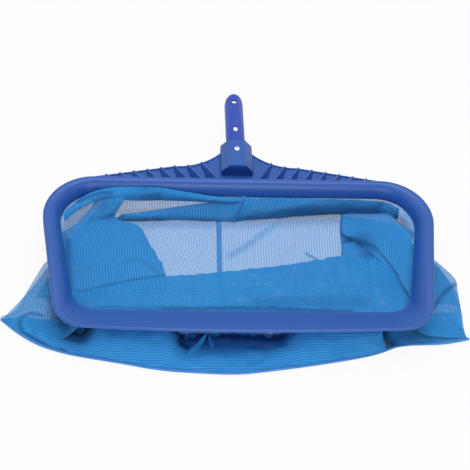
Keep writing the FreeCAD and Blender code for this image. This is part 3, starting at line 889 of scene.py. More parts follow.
@dataclass(frozen=True)
class RibFlanks:
    """The spreading outer flanks of the bridge's slanted ribs, eight on each side of the boss."""

    count: int = 8
    first: float = 45.0
    pitch: float = 17.3
    slant: float = 26.0
    half_thickness: float = 0.9
    web_top: float = -18.2
    tip_height: float = 2.8
    root_height: float = 14.8
    spread: float = 0.5
    tip_setback: float = 1.2
    root_y: float = 230.0
    knee: Spot = (78.0, 264.0)
    web_end: Spot = (194.0, 241.5)
    scallop_centre: Spot = (76.2, 342.0)
    scallop_radius: float = 78.0

    def web_edge(self, x: float) -> float:
        """Find how far back the web reaches.

        Args:
            x: distance from the middle.

        Returns:
            The web's edge at that distance.
        """
        (knee_x, knee_y), (end_x, end_y) = self.knee, self.web_end
        if x > knee_x:
            return knee_y + (end_y - knee_y) * (x - knee_x) / (end_x - knee_x)
        centre_x, centre_y = self.scallop_centre
        return centre_y - math.sqrt(self.scallop_radius ** 2 - (x - centre_x) ** 2)

    def end(self, side: int, x: float, y: float, height: float) -> list[Point]:
        """Find one end of a flank.

        Args:
            side: 1 on the right and -1 on the left.
            x: distance of the rib from the middle.
            y: the end's place between lip and handle.
            height: the rib's height there.

        Returns:
            Its top, its foot at the rib and its outer foot.
        """
        inner = x + self.half_thickness
        return [
            (side * inner, y, self.web_top + height),
            (side * inner, y, self.web_top),
            (side * (inner + self.spread * height), y, self.web_top),
        ]

    def build(self, materials: Wardrobe) -> bpy.types.Object:
        """Build all flanks as one piece of the bridge's moulding.

        Args:
            materials: the object's materials.

        Returns:
            The piece.
        """
        points, faces = [], []
        for i in range(self.count):
            x = self.first + i * self.pitch
            y = self.web_edge(x) - self.tip_setback
            root_x = x - (y - self.root_y) * math.tan(math.radians(self.slant))
            for side in (-1, 1):
                start = len(points)
                points += self.end(side, x, y, self.tip_height)
                points += self.end(side, root_x, self.root_y, self.root_height)
                faces += [(start, start + 1, start + 2), (start + 3, start + 4, start + 5)]
                faces += [
                    (start + a, start + b, start + b + 3, start + a + 3) for a, b in ((0, 1), (1, 2), (2, 0))
                ]
        mesh = bpy.data.meshes.new("rib_flanks")
        mesh.from_pydata(in_row_frame(np.array(points), Level.CREST).tolist(), [], faces)
        face_outwards(mesh)
        piece = link_mesh("bridge_rib_flanks", mesh, materials.frame)
        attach(piece, BODY)
        return piece


# Cloth

def spline_weights(count: int, steps: int) -> np.ndarray:
    """Return the weights that carry evenly spaced control points to points on a smooth curve.

    Args:
        count: how many control points there are.
        steps: how many points to give for each span.

    Returns:
        An array of samples by control points. The curve passes through every control point.
    """
    places = np.linspace(0.0, count - 1.0, (count - 1) * steps + 1)
    weights = np.zeros((len(places), count))
    for row, place in enumerate(places):
        start = min(int(place), count - 2)
        t = place - start
        basis = (
            -0.5 * t + t ** 2 - 0.5 * t ** 3,
            1 - 2.5 * t ** 2 + 1.5 * t ** 3,
            0.5 * t + 2 * t ** 2 - 1.5 * t ** 3,
            -0.5 * t ** 2 + 0.5 * t ** 3,
        )
        for offset, weight in zip((-1, 0, 1, 2), basis):
            at = start + offset
            if at < 0:
                weights[row, 0] += 2 * weight
                weights[row, 1] -= weight
            elif at > count - 1:
                weights[row, count - 1] += 2 * weight
                weights[row, count - 2] -= weight
            else:
                weights[row, at] += weight
    return weights


def arc_lengths(points: np.ndarray, axis: int) -> np.ndarray:
    """Measure a grid of points along its rows or columns.

    Args:
        points: rows by columns by 3.
        axis: 0 to go down the columns and 1 to go along the rows.

    Returns:
        How far each point lies from the grid's edge, in the points' own unit.
    """
    gaps = np.linalg.norm(np.diff(points, axis=axis), axis=-1)
    start = np.zeros_like(np.take(gaps, [0], axis=axis))
    return np.concatenate([start, np.cumsum(gaps, axis=axis)], axis=axis)


@dataclass(frozen=True)
class Ripple:
    """Small wrinkles pressed into a sheet: their height and their spacing along x and y."""

    height: float
    along_x: float
    along_y: float
    seed: float
    gain: ClassVar[float] = 2.0

    def height_at(self, point: np.ndarray) -> float:
        """Return how far the wrinkles raise one point."""
        spacing = Vector((1 / self.along_x, 1 / self.along_y, 1 / self.along_x))
        return self.height * self.gain * noise.noise(Vector(point) * spacing + Vector((self.seed, 0.0, 0.0)))


def off_segment(points: np.ndarray, start: Spot, end: Spot) -> tuple[np.ndarray, np.ndarray]:
    """Measure points against a straight line, seen from above.

    Args:
        points: an array whose last axis holds x, y and z.
        start: the line's start.
        end: the line's end.

    Returns:
        Each point's distance from the line, and its share of the way along it.
    """
    way = np.array(end) - np.array(start)
    offset = points[..., :2] - np.array(start)
    share = np.clip(offset @ way / (way @ way), 0.0, 1.0)
    return np.linalg.norm(offset - share[..., None] * way, axis=-1), share


@dataclass(frozen=True)
class Crease:
    """A soft ridge pressed along a straight line of the cloth, which fades towards both ends."""

    start: Spot
    end: Spot
    width: float
    height: float
    end_fade: ClassVar[float] = 0.7

    def lift(self, points: np.ndarray) -> np.ndarray:
        """Return how far the ridge raises each point."""
        distance, share = off_segment(points, self.start, self.end)
        return self.height * np.exp(-(distance / self.width) ** 2) * np.sin(np.pi * share) ** self.end_fade


@dataclass(frozen=True)
class FoldShadeMark:
    """A line of painted shade along folds, hollows and shadows cast by the ring, where the weave is also
    closer.

    Both strengths run from 0 to 1: how much painted shade the line gets, and how far it closes the weave.
    """

    line: list[Spot]
    width: float
    painted_shade: float
    closing: float = 0.6

    def strength(self, points: np.ndarray) -> np.ndarray:
        """Find both strengths.

        Args:
            points: an array whose last axis holds x, y and z.

        Returns:
            Painted shade and closing at each point.
        """
        distances = [off_segment(points, start, end)[0] for start, end in zip(self.line, self.line[1:])]
        fall = np.exp(-(np.min(distances, axis=0) / self.width) ** 2)
        return fall[..., None] * np.array([self.painted_shade, self.closing])


@dataclass(frozen=True)
class CornerPleats:
    """Small folds that run round an inner corner of the ring, strongest towards the corner itself, with
    painted shade along them.
    """

    centre: Spot
    inner: float
    outer: float
    pitch: float
    height: float
    painted_shade: float
    towards: Spot
    side_fade: ClassVar[int] = 3

    def waves(self, points: np.ndarray) -> np.ndarray:
        """Find the folds' own wave.

        Args:
            points: an array whose last axis holds x, y and z.

        Returns:
            The wave at each point, from 0 to 1, which fades at both ends.
        """
        offset = points[..., :2] - np.array(self.centre)
        distance = np.maximum(np.linalg.norm(offset, axis=-1), self.pitch)
        share = np.clip((distance - self.inner) / (self.outer - self.inner), 0.0, 1.0)
        facing = np.clip(offset @ np.array(self.towards) / distance, 0.0, 1.0)
        wave = 0.5 + 0.5 * np.sin(2 * np.pi * distance / self.pitch)
        return wave * np.sin(np.pi * share) * facing ** self.side_fade

    def lift(self, points: np.ndarray) -> np.ndarray:
        """Return how far the folds raise each point."""
        return self.height * self.waves(points)

    def strength(self, points: np.ndarray) -> np.ndarray:
        """Return the painted shade of the folds at each point and how far they close the weave."""
        return self.waves(points)[..., None] * np.array([self.painted_shade, self.painted_shade])


class Hem(Enum):
    """Which side of a layer of net is sewn into the hem."""

    NONE = "none"
    FIRST_ROW = "first row"
    FIRST_COLUMN = "first column"


def tucked(control: np.ndarray, hem: np.ndarray) -> np.ndarray:
    """Carry a layer's first row up into the ring's groove, where it is sewn into the hem.

    Args:
        control: rows by columns by 3, counted from the floor.
        hem: the hem's line as x and y.

    Returns:
        The same rows with two more before them.
    """
    inside_tape, under_flank, inward = 37.0, 32.6, 0.2
    first = control[0, :, :2]
    nearest = hem[np.linalg.norm(first[:, None] - hem[None], axis=-1).argmin(axis=1)]
    top = at_height(nearest, inside_tape)
    low = at_height(nearest * (1 - inward) + first * inward, under_flank)
    return np.concatenate([top[None], low[None], control])


@dataclass(frozen=True)
class NetSheet:
    """A layer of net, drawn as rows of points that a smooth surface passes through.

    Attributes:
        rows: the points, counted from the floor.
        ripple: the wrinkles all over it.
        presses: ridges and pleats pressed into it.
        marks: lines of painted shade, along which its weave is also closer.
        hem: the side that is sewn into the hem.
        turned: whether the ribs of the weave run down the rows instead of along them.
        doubled: how far other layers behind it close its weave, from 0 to 1.
    """

    rows: list[list[Point]]
    ripple: Ripple
    presses: tuple[Crease | CornerPleats, ...] = ()
    marks: tuple[FoldShadeMark | CornerPleats, ...] = ()
    hem: Hem = Hem.NONE
    turned: bool = False
    doubled: float = 0.0
    row_steps: ClassVar[int] = 14
    column_steps: ClassVar[int] = 18
    edge_fade: ClassVar[int] = 6
    lowest: ClassVar[float] = 0.7

    def control(self) -> np.ndarray:
        """Carry the side that is sewn to the hem up to it.

        Returns:
            The drawn points with those that this adds.
        """
        control = np.array(self.rows, float)
        if self.hem is Hem.NONE:
            return control
        ring = ScoopRing()
        line = ring.hem_line(ring.hem_thickness / 2)
        if self.hem is Hem.FIRST_ROW:
            return tucked(control, line)
        return tucked(control.swapaxes(0, 1), line).swapaxes(0, 1)

    def grid(self) -> np.ndarray:
        """Sample the smooth surface with its folds and wrinkles.

        Returns:
            Rows by columns by 3, in millimetres, counted from the floor.
        """
        control = self.control()
        across = spline_weights(control.shape[1], self.column_steps)
        down = spline_weights(control.shape[0], self.row_steps)
        points = np.einsum("ri,cj,ijk->rck", down, across, control)
        points[..., 2] += sum(press.lift(points) for press in self.presses)
        normals = np.cross(np.gradient(points, axis=1), np.gradient(points, axis=0))
        shortest = 1e-9
        normals /= np.maximum(np.linalg.norm(normals, axis=-1, keepdims=True), shortest)
        last_row, last_column = points.shape[0] - 1, points.shape[1] - 1
        for i in range(points.shape[0]):
            for j in range(points.shape[1]):
                from_edge = min(i, last_row - i, j, last_column - j)
                fall = min(1.0, from_edge / self.edge_fade)
                points[i, j] += normals[i, j] * fall * self.ripple.height_at(points[i, j])
        points[..., 2] = np.maximum(points[..., 2], self.lowest)
        return points

    def folds(self, points: np.ndarray) -> np.ndarray:
        """Gather the marks' painted shade.

        Args:
            points: rows by columns by 3, in millimetres.

        Returns:
            How much painted shade each point gets, and how far its weave is closed.
        """
        plain = np.zeros((*points.shape[:2], 2))
        plain[..., 1] = self.doubled
        return np.max([plain, *(mark.strength(points) for mark in self.marks)], axis=0)

    def mesh(self) -> bpy.types.Mesh:
        """Make the sheet's mesh.

        Returns:
            A mesh with two maps: lengths along it in millimetres, and its folds' painted shade and closing.
        """
        points = self.grid()
        mesh = grid_mesh(in_row_frame(points, Level.FLOOR))
        axes = (0, 1) if self.turned else (1, 0)
        lengths = np.stack([arc_lengths(points, axis) for axis in axes], axis=-1)
        corners = np.zeros(len(mesh.loops), np.int64)
        mesh.loops.foreach_get("vertex_index", corners)
        for name, values in (("weave", lengths), ("folds", self.folds(points))):
            layer = mesh.uv_layers.new(name=name)
            layer.data.foreach_set("uv", values.reshape(-1, 2)[corners].astype(np.float32).ravel())
        return mesh


def hanging_fold(top: list[Point], bottom: list[Point], belly: float, ripple: Ripple,
                 marks: tuple[FoldShadeMark, ...]) -> NetSheet:
    """Draw a flattened fold of net that hangs from one edge to another.

    Args:
        top: points along its upper edge.
        bottom: as many points along its lower edge.
        belly: how far its front stands out from the line between them.
        ripple: its wrinkles.
        marks: its lines of painted shade.

    Returns:
        The fold as one layer that goes down in front and back up behind.
    """
    rise_share, back_share, layers_behind = 0.4, 0.5, 0.3
    behind_top = np.array([0.0, 0.6, -0.8])
    upper, lower = np.array(top, float), np.array(bottom, float)
    middle = (upper + lower) / 2
    front = middle + np.array([0.0, -belly, rise_share * belly])
    back = middle + np.array([0.0, back_share * belly, 0.0])
    rows = [row.tolist() for row in (upper, front, lower, back, upper + behind_top)]
    return NetSheet(rows, ripple, marks=marks, doubled=layers_behind)


def joined(meshes: list[bpy.types.Mesh]) -> bpy.types.Mesh:
    """Join meshes that share one material, with their maps.

    Args:
        meshes: the meshes, which are removed.

    Returns:
        One new mesh with smooth faces.
    """
    work = bmesh.new()
    for mesh in meshes:
        work.from_mesh(mesh)
        bpy.data.meshes.remove(mesh)
    result = bpy.data.meshes.new("joined")
    work.to_mesh(result)
    work.free()
    result.shade_smooth()
    return result


def surface_area(mesh: bpy.types.Mesh) -> float:
    """Return the area of a mesh in square metres."""
    return sum(polygon.area for polygon in mesh.polygons)


@dataclass(frozen=True)
class NetBag:
    """The mesh bag: a left and a right half, each with its wall and floor, its folds, swells and ear.

    Both halves are cut alike: as wide as half the hem's round length, and as deep as the bag, in metres.
    """

    left_sheets: dict[str, NetSheet]
    right_sheets: dict[str, NetSheet]
    half_width: float = 0.655
    depth: float = 0.300

    def build(self, materials: Wardrobe, left_seams: list[bpy.types.Object],
              right_seams: list[bpy.types.Object]) -> list[bpy.types.Object]:
        """Args:
            materials: the object's materials.
            left_seams: the seams that are sewn to the left half, not used.
            right_seams: the seams that are sewn to the right half, not used.

        Returns:
            Both pieces.
        """
        pieces = []
        for name, node, sheets, seams in (
            ("bag_net_left", "net_left_half", self.left_sheets, left_seams),
            ("bag_net_right", "net_right_half", self.right_sheets, right_seams),
        ):
            mesh = joined([sheet.mesh() for sheet in sheets.values()])
            piece = link_mesh(name, mesh, materials.net)
            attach(piece, BODY)
            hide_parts(node)
            log.info("%s: %.3f square metres of net", name, surface_area(mesh))
            pieces.append(piece)
        return pieces


# Each sheet's marks paint shade along its folds and hollows and where the ring casts its shadow.
LEFT_PLEATS = CornerPleats(centre=(-172, 82), inner=18, outer=50, pitch=4.6, height=1.4, painted_shade=0.55,
                           towards=(-0.7, -0.7))
LEFT_SHEETS = {
    "wall_and_floor": NetSheet([
        [(-219, 163, 31.5), (-212, 187, 31.5), (-190, 209, 31.5), (-150, 215.5, 31.5), (-105, 216, 31.5),
         (-60, 216, 31.5), (4, 216, 31.5)],
        [(-219, 160, 18), (-210, 184, 18), (-188, 204, 18), (-149, 211, 18), (-104, 212, 18),
         (-60, 212, 18), (-4, 211.5, 18)],
        [(-220, 157, 5), (-207, 180, 5), (-184, 199, 5), (-147, 206, 4.5), (-104, 207, 4.5),
         (-62, 207, 4.5), (-17, 206, 4.5)],
        [(-226, 145, 1.8), (-206, 155, 2), (-184, 160, 2.2), (-146, 164, 2.2), (-104, 165, 2.2),
         (-64, 165, 2.2), (-23, 165, 2)],
        [(-250, 98, 1.6), (-216, 98, 2), (-184, 100, 2), (-145, 100, 2), (-104, 100, 2), (-66, 100, 2),
         (-23.5, 100, 2)],
        [(-278, 56, 1.6), (-234, 48, 2), (-190, 42, 2), (-148, 38, 2), (-104, 35, 2), (-66, 35, 2),
         (-22, 35, 2)],
        [(-285, 47, 1.4), (-238, 11, 1.4), (-191, -3, 1.4), (-144, -12, 1.4), (-98, -21, 1.4),
         (-55, -25, 1.4), (-11, -26.6, 1.4)],
    ], Ripple(0.8, 30.0, 26.0, 3.1), marks=(
        FoldShadeMark([(-216, 158), (-206, 180), (-190, 196)], 12.0, 0.05, 0.35),
        FoldShadeMark([(-140, 197), (-60, 200), (-4, 199)], 8.0, 0.2, 0.25),
    ), hem=Hem.FIRST_ROW),
    "upper_fold": hanging_fold(
        [(-217, 184, 38), (-203, 203, 37), (-185, 214.5, 41), (-167, 217.5, 46), (-150, 218, 49),
         (-125, 218, 50), (-99, 217.5, 50), (-59, 216, 43), (-26, 215.5, 37), (6, 216, 35.5)],
        [(-215, 178, 30), (-199, 196, 29), (-181, 206, 31), (-166, 210, 34), (-148, 210, 33),
         (-125, 213, 29), (-99, 214, 29), (-59, 214, 28), (-26, 213, 27), (4, 213, 26)],
        2.5, Ripple(0.8, 26.0, 12.0, 5.0), (
            FoldShadeMark([(-200, 203.5), (-186, 210.5), (-172, 213), (-158, 213.5)], 1.8, 0.6),
            FoldShadeMark([(-143, 210), (-116, 213.3), (-96, 214)], 1.0, 0.4),
        )),
    "lower_fold": hanging_fold(
        [(-152, 201, 9), (-142, 205, 13), (-117, 206, 17), (-72, 212, 21), (-28, 215, 28), (6, 215.5, 34)],
        [(-152, 201, 6), (-140, 200, 5), (-115, 200, 5), (-75, 203, 5), (-34, 202, 5), (-4, 201, 5)],
        2.0, Ripple(0.7, 24.0, 10.0, 6.0), (
            FoldShadeMark([(-152, 201), (-142, 200.5), (-109, 200), (-60, 202.5), (-4, 201)], 2.0, 0.5),
            FoldShadeMark([(-153, 201), (-144, 202)], 4.0, 0.6),
        )),
    "side_fold": NetSheet([
        [(-170, 218, 45), (-167, 217.5, 46), (-163, 217, 45), (-158, 216.5, 44), (-153, 216.5, 44),
         (-148, 217, 43), (-148, 216, 40), (-156, 215, 38), (-166, 216, 38)],
        [(-173, 214, 38), (-171, 212, 36), (-167, 210, 33), (-160, 209, 32), (-152, 209, 33),
         (-145, 211, 36), (-145, 210, 32), (-156, 208, 28), (-170, 211, 30)],
        [(-184, 205, 24), (-181, 204, 22), (-176, 203, 20), (-168, 202, 18), (-161, 201, 18),
         (-154, 203, 20), (-154, 202, 15), (-165, 201, 12), (-180, 203, 15)],
        [(-201, 188, 13), (-197, 189, 11), (-191, 191, 9.5), (-180, 195, 9), (-167, 198, 9),
         (-152, 200, 9), (-152, 199, 6), (-168, 195, 5), (-196, 188, 6)],
        [(-216, 163, 26), (-211, 167, 16), (-203, 175, 9), (-182, 184, 9), (-155, 188, 9), (-127, 189, 9),
         (-127, 188, 6), (-158, 181, 5), (-212, 168, 5)],
        [(-219.6, 138, 34), (-213, 140, 18), (-203, 146, 8), (-178, 151, 9), (-145, 156, 9),
         (-112, 157, 9), (-112, 156, 6), (-148, 150, 5), (-222, 140, 4)],
        [(-216.6, 112, 34), (-211, 114, 18), (-202, 118, 8), (-172, 121, 9), (-136, 125, 9),
         (-99, 128, 8), (-100, 127, 6), (-140, 120, 5), (-232, 112, 4)],
        [(-214, 90, 34), (-208.5, 92, 16), (-199, 95, 7.5), (-168, 99, 8), (-130, 103, 8), (-93, 107, 7),
         (-94, 106, 5), (-135, 100, 4.5), (-240, 94, 4)],
        [(-211.6, 70, 34), (-206, 72, 15), (-196, 76, 7), (-166, 79, 6), (-130, 83, 6), (-93, 87, 5.5),
         (-94, 86, 4.5), (-135, 80, 4), (-246, 78, 3.5)],
    ], Ripple(0.9, 60.0, 9.0, 7.7), marks=(
        FoldShadeMark([(-211, 160), (-209, 120), (-206, 72)], 5.5, 0.5),
        FoldShadeMark([(-197, 86), (-173, 91.5), (-149, 99), (-125, 105), (-93, 112)], 2.2, 0.45),
        FoldShadeMark([(-143, 131), (-125, 135), (-109, 125), (-99, 117)], 3.0, 0.25),
    ), doubled=0.3),
    "front_fold": NetSheet([
        [(-216, 68, 31), (-206, 46, 31), (-186, 28, 30.5), (-150, 25, 30), (-105, 24.6, 30), (-60, 24.4, 30),
         (-14, 24.4, 30)],
        [(-214, 71, 23), (-203, 54, 21), (-183, 41, 20), (-150, 38.5, 20), (-105, 38, 20), (-60, 38, 20),
         (-16, 38, 20)],
        [(-210, 76, 14), (-199, 68, 12.5), (-180, 62, 11), (-149, 60, 11), (-105, 60, 11), (-60, 60, 11),
         (-18, 60, 11)],
        [(-206, 80, 10), (-195, 77, 8.5), (-176, 78, 7.5), (-146, 80, 7), (-100, 84, 7), (-58, 86, 7),
         (-20, 87, 7)],
        [(-202, 83, 7.5), (-190, 85, 7), (-172, 90, 6.5), (-144, 97.5, 6.2), (-98, 107, 6), (-55, 112, 6),
         (-22, 116, 6)],
        [(-202, 82, 5), (-190, 84, 4.6), (-172, 89, 4.2), (-144, 96, 4), (-98, 105.5, 4), (-55, 110.5, 4),
         (-22, 114.5, 4)],
        [(-212, 62, 4), (-196, 60, 4), (-176, 60, 4), (-145, 62, 4), (-102, 64, 4), (-60, 66, 4),
         (-20, 66, 4)],
        [(-226, 48, 3.6), (-206, 34, 3.6), (-180, 28, 3.6), (-146, 26, 3.6), (-103, 26, 3.6),
         (-60, 26, 3.6), (-18, 26, 3.6)],
        [(-284, 46.5, 2.2), (-238, 11.5, 2.2), (-191, -3.2, 2.2), (-144, -12.2, 2.2), (-98, -21.2, 2.2),
         (-55, -25.3, 2.2), (-11, -26.6, 2.2)],
    ], Ripple(1.3, 8.0, 40.0, 11.3), presses=(LEFT_PLEATS,), marks=(
        LEFT_PLEATS,
        FoldShadeMark([(-175, 60), (-125, 58), (-78, 58)], 3.0, 0.4),
        FoldShadeMark([(-95, 58), (-46, 59), (-4, 60)], 4.5, 0.6),
    ), hem=Hem.FIRST_ROW, turned=True, doubled=0.3),
    "front_swell": NetSheet([
        [(-285, 47.5, 3), (-256, 50, 4), (-232, 44, 4), (-208, 40, 4), (-187, 36, 4), (-175, 25, 27),
         (-150, 21, 31), (-110, 21, 31), (-87, 20, 28), (-73, 26, 6), (-56, 28, 4), (-30, 28, 4),
         (-3, 28, 4)],
        [(-285.3, 47.3, 3.2), (-258, 46, 7), (-233, 40, 9), (-208, 30, 5), (-187, 27, 4.5), (-174, 17, 29),
         (-150, 13, 32), (-110, 12, 32), (-86, 11, 29), (-72, 19, 6), (-56, 20, 4.5), (-30, 20, 4.5),
         (-3, 20, 5)],
        [(-285.5, 47, 3.3), (-259, 40, 8), (-233, 30, 12), (-208, 22, 6.5), (-188, 18, 6), (-173, 8, 26),
         (-150, 5, 28.5), (-110, 4, 28), (-86, 3, 25), (-72, 10, 8), (-56, 10, 5), (-30, 9, 5.5),
         (-3, 9, 6.5)],
        [(-285.5, 46.8, 3.2), (-260, 34, 6.5), (-234, 21, 10), (-209, 14, 10), (-189, 8, 10), (-173, 2, 18),
         (-150, -2, 19), (-110, -5, 18), (-85, -6, 16), (-72, -2, 11), (-55, -4, 9), (-30, -3, 9),
         (-3, -3, 9)],
        [(-285.3, 46.5, 3), (-261, 29, 4.5), (-236, 15, 6), (-211, 7, 8), (-190, 2, 8), (-173, -2, 10),
         (-149, -7, 10), (-110, -12, 9), (-84, -14, 8), (-70, -14, 7), (-53, -15, 7), (-30, -15, 7),
         (-4, -15, 7)],
        [(-285, 46, 2.6), (-262, 25, 2.6), (-238, 11, 2.6), (-214, 1, 2.6), (-192, -4, 2.6),
         (-174, -6.5, 2.6), (-148, -11.5, 2.6), (-110, -19.5, 2.6), (-84, -24, 2.6), (-67, -25.5, 2.6),
         (-51, -26, 2.6), (-29, -26.7, 2.6), (-7, -26.7, 2.6)],
    ], Ripple(0.9, 18.0, 12.0, 13.0), marks=(
        FoldShadeMark([(-216, 38), (-200, 30), (-178, 26)], 9.0, 0.95, 1.0),
        FoldShadeMark([(-234, 42), (-250, 48), (-260, 45), (-263, 37), (-257, 26), (-239, 14), (-221, 3.5),
                  (-208, 0)], 2.2, 0.75),
        FoldShadeMark([(-82, 24), (-72, 21), (-50, 24), (-20, 25), (6, 23)], 9.0, 0.95, 1.0),
        FoldShadeMark([(-75, 14), (-67, 5)], 6.0, 0.8, 1.0),
    ), turned=True, doubled=0.6),
    "cone_fold": NetSheet([
        [(-44, 20, 16), (-43, 20, 17), (-42, 20, 16)],
        [(-60, 7, 7), (-55, 5, 15), (-49, 6, 8)],
        [(-76, -5, 6), (-65, -8, 10), (-52, -9, 6)],
    ], Ripple(0.3, 12.0, 12.0, 15.0), marks=(FoldShadeMark([(-60, -6), (-50, 6)], 3.0, 0.3),), doubled=0.6),
    "arrow_fold": NetSheet([
        [(-41, 20, 12), (-40, 20, 13), (-39, 20, 12)],
        [(-41, 10, 6), (-38, 9, 11), (-33, 10, 6)],
        [(-39, 3, 6), (-36.5, 1, 8.5), (-34, 2, 6)],
    ], Ripple(0.3, 12.0, 12.0, 16.0), doubled=0.6),
    "ear": NetSheet([
        [(-218.5, 128, 31.5), (-228, 130, 18), (-239, 132, 2.6)],
        [(-215, 98, 31.5), (-234, 98, 19), (-254, 96, 3)],
        [(-211.5, 68, 31.5), (-240, 64, 18), (-270, 60, 3)],
        [(-208, 48, 31.5), (-244, 42, 15), (-285.5, 47.5, 3.4)],
        [(-200, 31, 31.5), (-228, 24, 14), (-262, 28, 4.5)],
        [(-187, 23.5, 31.5), (-208, 14, 13), (-238, 14, 4)],
    ], Ripple(1.3, 16.0, 16.0, 19.0), marks=(
        FoldShadeMark([(-224, 62), (-221, 40), (-208, 24)], 7.0, 0.7),
        FoldShadeMark([(-236, 42), (-250, 48), (-260, 45), (-263, 37), (-257, 26), (-239, 14), (-221, 3.5)],
                 2.2, 0.6),
    ), hem=Hem.FIRST_COLUMN),
}

